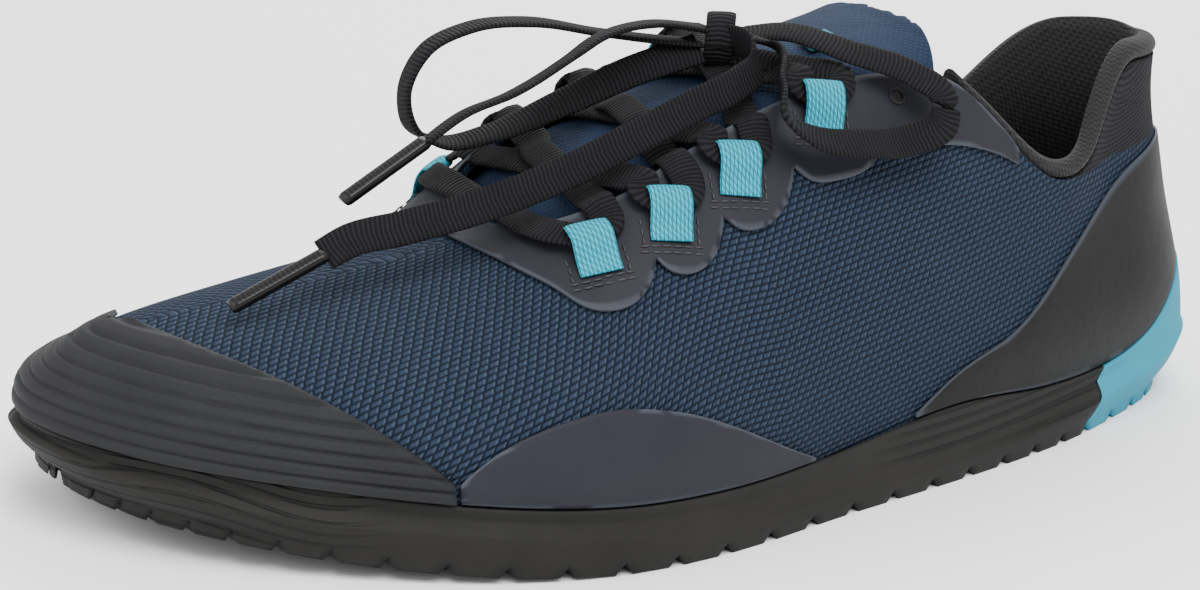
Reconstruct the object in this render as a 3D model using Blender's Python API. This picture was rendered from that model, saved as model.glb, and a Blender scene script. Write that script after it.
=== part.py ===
"""Barefoot running shoe for the left foot, empty, standing on its sole.

Metres, +Z up. The toe points to -X, the outer side of the foot to -Y.
The origin is on the ground, under the middle of the shoe.
"""
import math

import bmesh
import bpy
import numpy as np

# Driving sizes
SHOE_LENGTH = 0.282
BALL_WIDTH = 0.104
INSTEP_HEIGHT = 0.078
HEEL_HEIGHT = 0.078
TOE_SPRING = 0.0088
SOLE_STACK = 0.0052
LUG_DEPTH = 0.0026
INSOLE_THICKNESS = 0.003
UPPER_WALL = 0.0016
FILM = 0.0006
SOLE_RIM = 0.0011
SOLE_SIDE = 0.0026
FEATHER_INSET = 0.0062
LINING_PAD = 0.0032
COLLAR_ROLL = 0.0042
TONGUE_PAD = 0.0032
LACE_WIDTH = 0.0065
LACE_THICKNESS = 0.0012
GAP = 0.0003
SHARP_ANGLE = 40

HALF_WIDTH = BALL_WIDTH / 2
CENTRING = 0.00125
MILLIMETRE = 0.001

# Lasting sections. Shares of the length, the half ball width and the instep height:
# how far the section's middle swings to the inner side, the sole's half breadth, the
# half breadths at the shoulder line on the outer and inner side, and the heights of
# the belly and shoulder lines.
SECTION_COLUMNS = ("share", "swing", "half", "shoulder_outer", "shoulder_inner", "belly_height",
                   "shoulder_height_outer", "shoulder_height_inner")
SECTIONS = (
    (0.00, 0.096, 0.000, 0.000, 0.000, 0.256, 0.641, 0.641),
    (0.03, 0.098, 0.348, 0.279, 0.279, 0.256, 0.641, 0.641),
    (0.08, 0.104, 0.525, 0.442, 0.442, 0.256, 0.615, 0.615),
    (0.15, 0.081, 0.621, 0.529, 0.529, 0.256, 0.564, 0.564),
    (0.25, 0.002, 0.688, 0.587, 0.567, 0.256, 0.538, 0.538),
    (0.38, -0.083, 0.738, 0.596, 0.558, 0.263, 0.641, 0.641),
    (0.50, -0.100, 0.821, 0.625, 0.606, 0.256, 0.641, 0.628),
    (0.62, -0.075, 0.962, 0.721, 0.702, 0.244, 0.551, 0.526),
    (0.70, -0.042, 1.010, 0.760, 0.740, 0.237, 0.494, 0.455),
    (0.78, 0.025, 0.981, 0.721, 0.721, 0.237, 0.462, 0.397),
    (0.86, 0.115, 0.860, 0.615, 0.635, 0.244, 0.436, 0.365),
    (0.93, 0.185, 0.667, 0.452, 0.481, 0.256, 0.417, 0.353),
    (0.98, 0.227, 0.381, 0.240, 0.269, 0.263, 0.397, 0.359),
    (1.00, 0.260, 0.000, 0.000, 0.000, 0.269, 0.385, 0.385),
)

# Top edge: collar from the heel to the eyestay corner, throat, then the vamp's ridge.
# Sideways places as shares of the half ball width, heights as shares of the heel or
# instep height, and the pitch of the wall there in degrees.
EDGE_COLUMNS = ("share", "outer_side", "outer_height", "inner_side", "inner_height", "pitch")
EDGE = (
    (0.000, 0.096, 0.962, 0.096, 0.962, 95),
    (0.030, -0.135, 0.974, 0.308, 0.974, 95),
    (0.070, -0.260, 0.981, 0.413, 0.949, 97),
    (0.110, -0.327, 0.974, 0.481, 0.853, 97),
    (0.140, -0.394, 0.897, 0.519, 0.750, 95),
    (0.165, -0.481, 0.782, 0.548, 0.699, 91),
    (0.200, -0.548, 0.718, 0.558, 0.686, 88),
    (0.240, -0.567, 0.731, 0.558, 0.718, 86),
    (0.280, -0.567, 0.821, 0.548, 0.821, 80),
    (0.320, -0.538, 0.936, 0.519, 0.936, 70),
    (0.350, -0.510, 1.006, 0.490, 1.006, 60),
    (0.400, -0.462, 1.032, 0.452, 1.019, 50),
    (0.500, -0.404, 0.981, 0.394, 0.974, 42),
    (0.600, -0.385, 0.859, 0.375, 0.872, 38),
    (0.680, -0.365, 0.737, 0.365, 0.763, 30),
    (0.720, -0.212, 0.677, 0.231, 0.699, 18),
    (0.740, 0.000, 0.654, 0.000, 0.654, 5),
    (0.800, 0.096, 0.603, 0.096, 0.603, 0),
    (0.880, 0.163, 0.545, 0.163, 0.545, 0),
    (0.950, 0.212, 0.500, 0.212, 0.500, 0),
    (1.000, 0.260, 0.462, 0.260, 0.462, 0),
)
EYESTAY_CORNER = 0.350
THROAT_FRONT = 0.740

# How far each level stays inside the sole's ends, as shares of the length
LEVELS = ("feather", "belly", "shoulder", "edge")
HEEL_INSET = {"feather": 0.021, "belly": 0.008, "shoulder": 0.043, "edge": 0.058}
TOE_INSET = {"feather": 0.022, "belly": 0.006, "shoulder": 0.026, "edge": 0.064}
LEVEL_SHARES = (0.0, 0.27, 0.66, 1.0)

# Sole side: height of the bite line, how far the bottom edge is rounded in, and the
# height of the widest line, as shares of the instep height and the half ball width
BITE = ((0.00, 0.385), (0.05, 0.34), (0.12, 0.20), (0.25, 0.17), (0.38, 0.205), (0.50, 0.16),
        (0.70, 0.155), (0.80, 0.18), (0.90, 0.22), (1.00, 0.25))
EDGE_ROUNDING = ((0.00, 0.12), (0.08, 0.08), (0.20, 0.02), (0.40, 0.0), (0.75, 0.0), (0.88, 0.035),
                 (0.96, 0.08), (1.00, 0.12))
WIDEST = ((0.00, 0.20), (0.08, 0.15), (0.20, 0.085), (0.70, 0.085), (0.84, 0.13), (1.00, 0.22))
# Where the heel height turns to the instep height, and its distance in front
SCALE_TURN = 0.10
SCALE_TURN_LENGTH = 0.25
SPRING = ((0.00, 0.10), (0.05, 0.0), (0.64, 0.0), (0.76, 0.10), (0.86, 0.36), (0.93, 0.64), (1.00, 1.0))


def angle_of(share):
    """Stations crowd towards heel and toe, so that the round ends stay smooth."""
    return np.arccos(1 - 2 * np.clip(share, 0, 1))


def smooth(places, values, at):
    """Smooth curve through the values, which runs straight on at its ends."""
    places = np.asarray(places, float)
    values = np.asarray(values, float)
    at = np.asarray(at, float)
    steps = np.diff(places)
    slopes = np.diff(values) / steps
    tangents = np.empty(len(places))
    tangents[1:-1] = (slopes[:-1] * steps[1:] + slopes[1:] * steps[:-1]) / (steps[:-1] + steps[1:])
    tangents[0] = 1.5 * slopes[0] - 0.5 * tangents[1]
    tangents[-1] = 1.5 * slopes[-1] - 0.5 * tangents[-2]
    cell = np.clip(np.searchsorted(places, at) - 1, 0, len(steps) - 1)
    step = steps[cell]
    u = (at - places[cell]) / step
    return ((1 + 2 * u) * (1 - u) ** 2 * values[cell] + u * (1 - u) ** 2 * step * tangents[cell]
            + u * u * (3 - 2 * u) * values[cell + 1] + u * u * (u - 1) * step * tangents[cell + 1])


def along(table, share):
    """Value of a two-column table at a share of the length."""
    table = np.asarray(table)
    return smooth(angle_of(table[:, 0]), table[:, 1], angle_of(share))


def section(column, share):
    table = np.asarray(SECTIONS)
    return smooth(angle_of(table[:, 0]), table[:, SECTION_COLUMNS.index(column)], angle_of(share))


def edge(column, share):
    table = np.asarray(EDGE)
    return smooth(angle_of(table[:, 0]), table[:, EDGE_COLUMNS.index(column)], angle_of(share))


def spring(x):
    """Height of the ground side of the sole at a place: flat, lifted at toe and heel."""
    return TOE_SPRING * np.maximum(along(SPRING, 0.5 - np.asarray(x) / SHOE_LENGTH), 0)


def floor_height(x):
    """Height of the sole's upper face, inside the shoe."""
    return SOLE_STACK + np.where(np.asarray(x) < 0, spring(x), 0)


def edge_scale(share):
    """Heel height behind, instep height in front."""
    blend = np.clip((np.asarray(share) - SCALE_TURN) / SCALE_TURN_LENGTH, 0, 1)
    return HEEL_HEIGHT + (INSTEP_HEIGHT - HEEL_HEIGHT) * blend * blend * (3 - 2 * blend)


def level_x(level, share):
    heel = SHOE_LENGTH * (0.5 - HEEL_INSET[level])
    toe = -SHOE_LENGTH * (0.5 - TOE_INSET[level])
    return heel + (toe - heel) * share


def outline(share, side, inset, z):
    """Line around the sole, seen from above, at an inset from its widest line."""
    def widest(at):
        breadth = section("swing", at) + side * np.maximum(section("half", at), 0)
        return np.stack([SHOE_LENGTH * (0.5 - at), HALF_WIDTH * breadth], -1)

    angle = angle_of(share)
    step = 1e-3
    ahead = widest((1 - np.cos(np.clip(angle + step, 0, math.pi))) / 2)
    behind = widest((1 - np.cos(np.clip(angle - step, 0, math.pi))) / 2)
    run = ahead - behind
    outward = np.stack([-run[..., 1], run[..., 0]], -1) * -side
    outward = outward / np.maximum(np.linalg.norm(outward, axis=-1), 1e-12)[..., None]
    outward = np.where((share <= 0)[..., None], np.array([1.0, 0.0]), outward)
    outward = np.where((share >= 1)[..., None], np.array([-1.0, 0.0]), outward)
    flat = widest(share) - outward * np.asarray(inset)[..., None]
    return np.concatenate([flat, np.broadcast_to(z, flat.shape[:-1])[..., None]], -1)


def level_points(share, side):
    """Four points of one side's section, from the feather to the top edge."""
    name = "outer" if side < 0 else "inner"
    swing = section("swing", share) * HALF_WIDTH
    half = np.maximum(section("half", share), 0) * HALF_WIDTH
    feather = np.stack([level_x("feather", share),
                        swing + side * half * (1 - FEATHER_INSET / (half + 2 * FEATHER_INSET)),
                        floor_height(level_x("feather", share)) + GAP], -1)
    belly = np.stack([level_x("belly", share),
                      swing + side * half * (1 - SOLE_SIDE / (half + 2 * SOLE_SIDE)),
                      section("belly_height", share) * INSTEP_HEIGHT], -1)
    shoulder_side = np.maximum(section("shoulder_" + name, share), 0) * HALF_WIDTH
    shoulder = np.stack([level_x("shoulder", share), swing + side * shoulder_side,
                         section("shoulder_height_" + name, share) * INSTEP_HEIGHT], -1)
    top_side = edge(name + "_side", share)
    top_height = edge(name + "_height", share)
    ridge = share >= THROAT_FRONT
    top_side = np.where(ridge, (edge("outer_side", share) + edge("inner_side", share)) / 2, top_side)
    top_height = np.where(ridge, (edge("outer_height", share) + edge("inner_height", share)) / 2, top_height)
    top = np.stack([level_x("edge", share), top_side * HALF_WIDTH, top_height * edge_scale(share)], -1)
    return feather, belly, shoulder, top


def skin(share, height, side):
    """Point of the upper's outer face: share from heel to toe, height from 0 to 1."""
    share = np.asarray(share, float)
    height = np.asarray(height, float)
    points = level_points(share, side)
    v = LEVEL_SHARES
    slopes = [(points[i + 1] - points[i]) / (v[i + 1] - v[i]) for i in range(3)]
    tangents = [None] * 4
    for i in (1, 2):
        before = v[i] - v[i - 1]
        after = v[i + 1] - v[i]
        tangents[i] = (slopes[i - 1] * after + slopes[i] * before) / (before + after)
    tangents[0] = 1.5 * slopes[0] - 0.5 * tangents[1]
    run = np.linalg.norm(slopes[2], axis=-1)
    flat = slopes[2][..., :2]
    flat = flat / np.maximum(np.linalg.norm(flat, axis=-1), 1e-9)[..., None]
    pitch = np.radians(edge("pitch", share))
    tangents[3] = np.stack([flat[..., 0] * np.cos(pitch) * run, flat[..., 1] * np.cos(pitch) * run,
                            np.sin(pitch) * run], -1)
    result = np.zeros(points[0].shape)
    for i in range(3):
        low = height >= v[i] if i else np.ones(height.shape, bool)
        high = height < v[i + 1] if i < 2 else np.ones(height.shape, bool)
        step = v[i + 1] - v[i]
        u = ((height - v[i]) / step)[..., None]
        part = ((1 + 2 * u) * (1 - u) ** 2 * points[i] + u * (1 - u) ** 2 * step * tangents[i]
                + u * u * (3 - 2 * u) * points[i + 1] + u * u * (u - 1) * step * tangents[i + 1])
        result = np.where((low & high)[..., None], part, result)
    return result


def skin_normal(share, height, side):
    """Outward direction of the upper's outer face, the mean of both sides where they meet."""
    near_end = 4e-4
    inside = np.clip(np.asarray(share, float), near_end, 1 - near_end)
    mean = side_normal(inside, height, side) + side_normal(inside, height, -side)
    mean = mean / np.maximum(np.linalg.norm(mean, axis=-1), 1e-12)[..., None]
    meeting = (share <= 0) | (share >= 1) | ((share >= THROAT_FRONT) & (np.asarray(height) >= 1))
    return np.where(meeting[..., None], mean, side_normal(share, height, side))


def side_normal(share, height, side):
    """Outward direction, worked out on one side alone."""
    angle = angle_of(np.clip(share, 1e-6, 1 - 1e-6))
    step = 2e-3
    ahead = (1 - np.cos(np.clip(angle + step, 0, math.pi))) / 2
    behind = (1 - np.cos(np.clip(angle - step, 0, math.pi))) / 2
    along_shoe = skin(ahead, height, side) - skin(behind, height, side)
    rise = 1e-3
    upward = skin(share, np.minimum(height + rise, 1), side) - skin(share, np.maximum(height - rise, 0), side)
    normal = np.cross(along_shoe, upward) * side
    size = np.linalg.norm(normal, axis=-1)
    return normal / np.maximum(size, 1e-12)[..., None]


def height_share(share, side, z):
    """Where on the section the skin reaches a height above the ground."""
    low = np.zeros_like(np.asarray(share, float))
    high = np.full_like(low, LEVEL_SHARES[2])
    for _ in range(30):
        middle = (low + high) / 2
        below = skin(share, middle, side)[..., 2] < z
        low = np.where(below, middle, low)
        high = np.where(below, high, middle)
    return (low + high) / 2


def stations(first, last, count):
    """Shares of the length between two places, closer together at heel and toe."""
    angles = np.linspace(angle_of(first), angle_of(last), count)
    shares = (1 - np.cos(angles)) / 2
    shares[0] = first
    shares[-1] = last
    return shares


class Sheets:
    """Quads between two faces of a wall, welded where the outer points meet."""

    def __init__(self):
        self.places = {}
        self.outer = []
        self.inner = []
        self.counts = []
        self.quads = []
        self.lugs = {}

    def corner(self, outer, inner):
        key = tuple(np.round(outer * 1e6).astype(int))
        if key not in self.places:
            self.places[key] = len(self.outer)
            self.outer.append(np.array(outer))
            self.inner.append(np.zeros(3))
            self.counts.append(0)
        index = self.places[key]
        self.inner[index] += inner
        self.counts[index] += 1
        return index

    def add(self, outer, inner, flip, tips=None):
        """Add a grid of points; flip says whether its rows run against the outward side.

        The last cell is split from its own side, as the two sides of the toe meet there.
        A cell named in tips is drawn out to a blunt lug that ends in the four points given.
        """
        rows, columns = outer.shape[:2]
        grid = [[self.corner(outer[i, j], inner[i, j]) for j in range(columns)] for i in range(rows)]
        for i in range(rows - 1):
            for j in range(columns - 1):
                quad = [grid[i][j], grid[i + 1][j], grid[i + 1][j + 1], grid[i][j + 1]]
                if flip:
                    quad.reverse()
                corners = [index for n, index in enumerate(quad) if index != quad[n - 1]]
                if len(set(corners)) < 3:
                    continue
                if tips is not None and (i, j) in tips and len(corners) == 4:
                    tip = list(tips[i, j])
                    if flip:
                        tip.reverse()
                    self.lugs[len(self.quads)] = tip
                if (i, j) == (rows - 2, columns - 2) and len(corners) == 4:
                    own, last = (3, 1) if flip else (0, 2)
                    self.quads.append([corners[own], corners[own - 3], corners[last]])
                    self.quads.append([corners[own], corners[last], corners[own - 1]])
                    continue
                self.quads.append(corners)

    def build(self, name, material):
        """Close the wall along its free edges and make the object."""
        count = len(self.outer)
        points = self.outer + [inner / n for inner, n in zip(self.inner, self.counts)]
        faces = []
        for n, quad in enumerate(self.quads):
            if n not in self.lugs:
                faces.append(list(quad))
                continue
            first = len(points)
            points = points + self.lugs[n]
            faces.append([first, first + 1, first + 2, first + 3])
            for k in range(4):
                after = (k + 1) % 4
                faces.append([quad[k], quad[after], first + after, first + k])
        faces += [[index + count for index in reversed(quad)] for quad in self.quads]
        used = set()
        for quad in self.quads:
            for n, index in enumerate(quad):
                used.add((quad[n - 1], index))
        for start, end in sorted(used):
            if (end, start) not in used:
                faces.append([end, start, start + count, end + count])
        return solid(name, points, faces, material)


def solid(name, points, faces, material):
    """Object from points and faces."""
    mesh = bpy.data.meshes.new(name)
    mesh.from_pydata([(x, y + CENTRING, z) for x, y, z in points], [], faces)
    mesh.validate()
    mesh.materials.append(material)
    thing = bpy.data.objects.new(name, mesh)
    bpy.context.scene.collection.objects.link(thing)
    work = bmesh.new()
    work.from_mesh(mesh)
    loose = [vertex for vertex in work.verts if not vertex.link_faces]
    bmesh.ops.delete(work, geom=loose, context="VERTS")
    bmesh.ops.triangulate(work, faces=work.faces[:])
    work.to_mesh(mesh)
    work.free()
    mesh.shade_smooth()
    mesh.set_sharp_from_angle(angle=math.radians(SHARP_ANGLE))
    return thing


def finish(name, colour, roughness, metallic=0.0):
    """Plain material of one piece."""
    material = bpy.data.materials.new(name)
    material.use_nodes = True
    shader = material.node_tree.nodes["Principled BSDF"]
    shader.inputs["Base Color"].default_value = (*colour, 1)
    shader.inputs["Roughness"].default_value = roughness
    shader.inputs["Metallic"].default_value = metallic
    return material


def lifted(shares, heights, side, lift):
    """Grid of points at a distance from the skin."""
    return skin(shares, heights, side) + skin_normal(shares, heights, side) * np.asarray(lift)[..., None]


def patch(sheets, side, shares, low, high, rows, inner_lift, outer_lift):
    """Layer over one side of the upper, between two lines of height."""
    fraction = np.linspace(0, 1, rows + 1)
    share = np.broadcast_to(shares[:, None], (len(shares), rows + 1))
    height = low[:, None] + (high - low)[:, None] * fraction
    outer_lift = np.broadcast_to(outer_lift, height.shape)
    inner_lift = np.broadcast_to(inner_lift, height.shape)
    sheets.add(lifted(share, height, side, outer_lift), lifted(share, height, side, inner_lift), side < 0)


def bite_height(share, side, above=0.0):
    """Height share of the line where the sole's rim ends on the upper."""
    return height_share(share, side, along(BITE, share) * INSTEP_HEIGHT + above)


# Upper
UPPER_STATIONS = 40
UPPER_ROWS = (0.0, 0.13, 0.27, 0.37, 0.47, 0.57, 0.66, 0.74, 0.82, 0.91, 1.0)


THROAT_STATIONS = (0.6900, 0.7100, 0.7200, 0.7303, THROAT_FRONT, 0.7580, 0.7760)
STATION_ROOM = 0.006


def upper_shares():
    """Even stations, with more of them where the throat comes to an end."""
    even = stations(0.0, 1.0, UPPER_STATIONS + 1)
    throat = np.array(THROAT_STATIONS)
    clear = [share for share in even if np.min(np.abs(throat - share)) > STATION_ROOM]
    return np.sort(np.concatenate([clear, throat]))


def make_upper():
    shares = upper_shares()
    rows = np.array(UPPER_ROWS)
    share, height = np.meshgrid(shares, rows, indexing="ij")
    sheets = Sheets()
    for side in (-1, 1):
        outer = skin(share, height, side)
        inner = lifted(share, height, side, np.full(share.shape, -UPPER_WALL))
        sheets.add(outer, inner, side < 0)
    return sheets.build("upper", finish("knit", (0.045, 0.075, 0.13), 0.85))


# Sole
SOLE_STATIONS = 33
HEEL_STATIONS = 8
HEEL_RUBBER_TOP = 0.170
HEEL_RUBBER_BOTTOM = 0.200
SIDE_LEDGE = 0.0007
ARCH_LIFT = 0.0012
ARCH_MIDDLE = 0.40
ARCH_LENGTH = 0.13
HULL_CLEARANCE = 0.00045
WIDEST_UNDER_BITE = 0.003
BAND_HEIGHT = 0.55
BAND_SWELL = 1.35
ROUNDING_START = 0.3
INNER_ROWS = 5


def hull_rows(share, side):
    """One side of the sole's section: outer face and the face towards the foot."""
    bite = along(BITE, share) * INSTEP_HEIGHT
    widest = np.minimum(along(WIDEST, share) * INSTEP_HEIGHT, bite - WIDEST_UNDER_BITE)
    rounding = along(EDGE_ROUNDING, share) * HALF_WIDTH
    rim = height_share(share, side, bite)
    band = height_share(share, side, bite * BAND_HEIGHT + widest * (1 - BAND_HEIGHT))
    rim_lift = np.full(share.shape, SOLE_RIM)
    outer = [lifted(share, rim, side, rim_lift),
             lifted(share, band, side, rim_lift * BAND_SWELL),
             outline(share, side, np.full(share.shape, SIDE_LEDGE), widest + SIDE_LEDGE),
             outline(share, side, np.zeros(share.shape), widest),
             outline(share, side, rounding * ROUNDING_START, np.zeros(share.shape)),
             outline(share, side, rounding, np.zeros(share.shape))]
    outer[5][..., 2] = spring(outer[5][..., 0]) + LUG_DEPTH
    outer[4][..., 2] = widest * (1 - BAND_HEIGHT) + outer[5][..., 2] * BAND_HEIGHT
    lift = np.full(share.shape, HULL_CLEARANCE)
    steps = np.linspace(1, 0, INNER_ROWS)
    inner = [lifted(share, rim * step, side, lift) for step in steps]
    floor = inner[-1].copy()
    floor[..., 2] = floor_height(floor[..., 0])
    inner.append(floor)
    return outer, inner


def hull_section(share, crossings):
    """Whole section at the given shares, from the outer rim to the inner rim."""
    left_outer, left_inner = hull_rows(share, -1)
    right_outer, right_inner = hull_rows(share, 1)
    outer = list(left_outer)
    inner = list(left_inner)
    for step in range(1, crossings):
        across = step / crossings
        under = left_outer[-1] + (right_outer[-1] - left_outer[-1]) * across
        arch = np.exp(-((share - ARCH_MIDDLE) / ARCH_LENGTH) ** 2) * math.sin(math.pi * across) * ARCH_LIFT
        under[..., 2] = spring(under[..., 0]) + LUG_DEPTH + arch
        outer.append(under)
        floor = left_inner[-1] + (right_inner[-1] - left_inner[-1]) * across
        floor[..., 2] = floor_height(floor[..., 0])
        inner.append(floor)
    return np.stack(outer + right_outer[::-1], 1), np.stack(inner + right_inner[::-1], 1)


CROSSINGS = 5
SIDE_ROWS = 6
LUG_ALONG = 0.16
LUG_ACROSS = 0.14
LUG_AT_EDGE = 0.02


def split_share(column, columns):
    """The heel rubber's front edge leans forward from the rim down to the ground."""
    down = min(column, columns - 1 - column, SIDE_ROWS - 1) / (SIDE_ROWS - 1)
    return HEEL_RUBBER_TOP + (HEEL_RUBBER_BOTTOM - HEEL_RUBBER_TOP) * down


def lug_tips(outer):
    """Lugs under the sole: a closed row along each edge, a chequer in between."""
    tips = {}
    first = SIDE_ROWS - 1
    for i in range(len(outer) - 1):
        for k in range(CROSSINGS):
            at_edge = k in (0, CROSSINGS - 1)
            if not at_edge and (i + k) % 2:
                continue
            j = first + k
            corners = [outer[i, j], outer[i + 1, j], outer[i + 1, j + 1], outer[i, j + 1]]
            left = LUG_AT_EDGE if k == 0 else LUG_ACROSS
            right = LUG_AT_EDGE if k == CROSSINGS - 1 else LUG_ACROSS
            spots = ((LUG_ALONG, left), (1 - LUG_ALONG, left),
                     (1 - LUG_ALONG, 1 - right), (LUG_ALONG, 1 - right))
            tip = []
            for u, w in spots:
                weights = ((1 - u) * (1 - w), u * (1 - w), u * w, (1 - u) * w)
                point = sum(weight * corner for weight, corner in zip(weights, corners))
                point[2] = spring(point[0])
                tip.append(point)
            tips[i, j] = tip
    return tips


def make_hull(name, starts, ends, count, material):
    """Cup of the sole between two lines around it, with lugs on its ground side."""
    columns = len(starts)
    outer = np.zeros((count + 1, columns, 3))
    inner = np.zeros((count + 1, columns, 3))
    for column in range(columns):
        shares = stations(starts[column], ends[column], count + 1)
        outer_all, inner_all = hull_section(shares, CROSSINGS)
        outer[:, column] = outer_all[:, column]
        inner[:, column] = inner_all[:, column]
    sheets = Sheets()
    sheets.add(outer, inner, False, lug_tips(outer))
    return sheets.build(name, material)


def make_sole():
    rubber = finish("outsole_rubber", (0.018, 0.018, 0.02), 0.75)
    turquoise = finish("turquoise_rubber", (0.05, 0.34, 0.42), 0.6)
    columns = 2 * SIDE_ROWS + CROSSINGS - 1
    split = np.array([split_share(column, columns) for column in range(columns)])
    make_hull("heel_rubber", np.zeros(columns), split, HEEL_STATIONS, turquoise)
    make_hull("outsole", split + GAP / SHOE_LENGTH, np.ones(columns), SOLE_STATIONS - HEEL_STATIONS, rubber)


# Insole
INSOLE_PLAY = 0.0013
INSOLE_COLUMNS = 4


def make_insole():
    count = UPPER_STATIONS // 2 + 1
    shares = stations(0.0, 1.0, count)
    inset = np.full(count, -UPPER_WALL - INSOLE_PLAY)
    edges = [lifted(shares, np.zeros(count), side, inset) for side in (-1, 1)]
    across = np.linspace(0, 1, INSOLE_COLUMNS)[None, :, None]
    bottom = edges[0][:, None] * (1 - across) + edges[1][:, None] * across
    bottom[..., 2] = floor_height(bottom[..., 0]) + GAP
    top = bottom + np.array([0, 0, INSOLE_THICKNESS])
    sheets = Sheets()
    sheets.add(top, bottom, True)
    return sheets.build("insole", finish("insole_foam", (0.03, 0.03, 0.035), 0.9))


# Toe bumper: height shares of its top edge, which meets the sole's rim at its rear ends
BUMPER_TOP = ((0.8150, 0.264), (0.8250, 0.311), (0.8450, 0.418), (0.8600, 0.475), (0.8860, 0.572),
              (0.9130, 0.666), (0.9420, 0.756), (0.9700, 0.849), (0.9850, 0.915), (1.0000, 0.950))
BUMPER_ROWS = 7
BUMPER_THICKNESS = 0.0016
BUMPER_GROOVE = 0.0005
BUMPER_THINNING = 0.0005
BUMPER_STATIONS = 13
BUMPER_TIP = 0.001
BUMPER_LEAST = 0.03


def make_toe_bumper():
    shares = stations(BUMPER_TOP[0][0] + BUMPER_TIP, 1.0, BUMPER_STATIONS)
    fraction = np.linspace(0, 1, BUMPER_ROWS + 1)
    ridges = BUMPER_THICKNESS - BUMPER_GROOVE * (np.arange(BUMPER_ROWS + 1) % 2)
    ridges = ridges - BUMPER_THINNING * fraction ** 4
    sheets = Sheets()
    for side in (-1, 1):
        low = bite_height(shares, side, 2 * GAP)
        high = np.maximum(along(BUMPER_TOP, shares), low + BUMPER_LEAST)
        patch(sheets, side, shares, low, high, BUMPER_ROWS, GAP, ridges)
    return sheets.build("toe_bumper", finish("bumper_rubber", (0.02, 0.02, 0.022), 0.7))


# Films bonded over the knit: height shares of their upper edges
SIDE_FILM_TOP = ((0.5215, 0.127), (0.5683, 0.241), (0.6103, 0.341), (0.6537, 0.428), (0.6833, 0.468),
                 (0.7122, 0.492), (0.7461, 0.478), (0.7749, 0.428), (0.7933, 0.381), (0.8130, 0.268))
COUNTER_TOP = ((0.0000, 0.760), (0.0700, 0.762), (0.1200, 0.752), (0.1565, 0.736), (0.1976, 0.629),
               (0.2346, 0.545), (0.2657, 0.465), (0.2981, 0.385), (0.3463, 0.341), (0.3941, 0.284),
               (0.4250, 0.174))
# How much of each film's drawn-out tip is cut off, and its least height share
SIDE_FILM_TIP = 0.008
COUNTER_TIP = 0.004
FILM_LEAST = 0.01
FILM_ROWS = 5
SIDE_FILM_STATIONS = 11
COUNTER_STATIONS = 14


def make_side_films():
    film = finish("side_film", (0.035, 0.037, 0.055), 0.5)
    for side, name in ((-1, "outer"), (1, "inner")):
        shares = stations(SIDE_FILM_TOP[0][0] + SIDE_FILM_TIP, SIDE_FILM_TOP[-1][0], SIDE_FILM_STATIONS)
        low = bite_height(shares, side, 2 * GAP)
        high = np.maximum(along(SIDE_FILM_TOP, shares), low + FILM_LEAST)
        sheets = Sheets()
        patch(sheets, side, shares, low, high, FILM_ROWS, GAP, GAP + FILM)
        sheets.build("side_film_" + name, film)


def make_heel_counter():
    shares = stations(0.0, COUNTER_TOP[-1][0] - COUNTER_TIP, COUNTER_STATIONS)
    sheets = Sheets()
    for side in (-1, 1):
        low = bite_height(shares, side, 2 * GAP)
        high = np.maximum(along(COUNTER_TOP, shares), low + FILM_LEAST)
        patch(sheets, side, shares, low, high, FILM_ROWS, GAP, GAP + FILM)
    return sheets.build("heel_counter", finish("counter_film", (0.012, 0.012, 0.014), 0.4))


# Eyestay: tabs around the lace loops, each with its middle, half length and low edge
TABS = ((0.475, 0.040, 0.800), (0.5515, 0.033, 0.766), (0.6175, 0.030, 0.748), (0.684, 0.034, 0.742))
EYESTAY_NOTCHES = ((0.2750, 0.955), (0.3043, 0.920), (0.3442, 0.870), (0.3700, 0.853), (0.4428, 0.840),
                   (0.5169, 0.856), (0.5861, 0.833), (0.6494, 0.823), (0.7200, 0.825), (0.7303, 0.853),
                   (0.7402, 0.886), (0.7600, 0.985))
EYESTAY_STATIONS = (0.283, 0.304, 0.3442, 0.37, 0.40, 0.436, 0.447, 0.461, 0.478, 0.497, 0.508, 0.5169,
                    0.524, 0.538, 0.557, 0.575, 0.5861, 0.593, 0.606, 0.624, 0.641, 0.6494, 0.657,
                    0.672, 0.69, 0.71, 0.7200, 0.7303, THROAT_FRONT, 0.7580)
THROAT_PLAY = 0.0003
THROAT_PLAY_FROM = 0.70
THROAT_PLAY_LENGTH = 0.02
EYESTAY_ROWS = 3


def eyestay_low(share):
    """Scalloped lower edge."""
    low = along(EYESTAY_NOTCHES, share)
    for middle, half, depth in TABS:
        reach = np.clip(np.abs(share - middle) / half, 0, 1)
        low = low + (np.minimum(depth, low) - low) * (1 - reach ** 4)
    return low


def make_eyestay():
    shares = np.array(EYESTAY_STATIONS)
    sheets = Sheets()
    play = GAP + THROAT_PLAY * np.clip((shares - THROAT_PLAY_FROM) / THROAT_PLAY_LENGTH, 0, 1)[:, None]
    for side in (-1, 1):
        top = np.ones(len(shares))
        patch(sheets, side, shares, eyestay_low(shares), top, EYESTAY_ROWS, play, play + FILM)
    return sheets.build("eyestay", finish("eyestay_film", (0.03, 0.032, 0.05), 0.5))


# Collar lining: rolled over the collar's edge and down inside the wall
LINING_ROWS = 6
LINING_THIN_ROWS = 0.2
LINING_THIN = 0.2
# The roll's path over the edge: shares of its height, and steps out from the wall
ROLL_PATH = ((0.55, 0.0004), (1.0, -0.0013))
ROLL_BACK = (0.93, 0.80)
ROLL_TUCK = 0.0001
COLLAR_STOP = 0.008
COLLAR_END = 0.004


def upward(share, height, side):
    """Direction up the wall, along its face."""
    rise = 1e-3
    run = skin(share, height, side) - skin(share, height - rise, side)
    return run / np.linalg.norm(run, axis=-1)[..., None]


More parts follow.
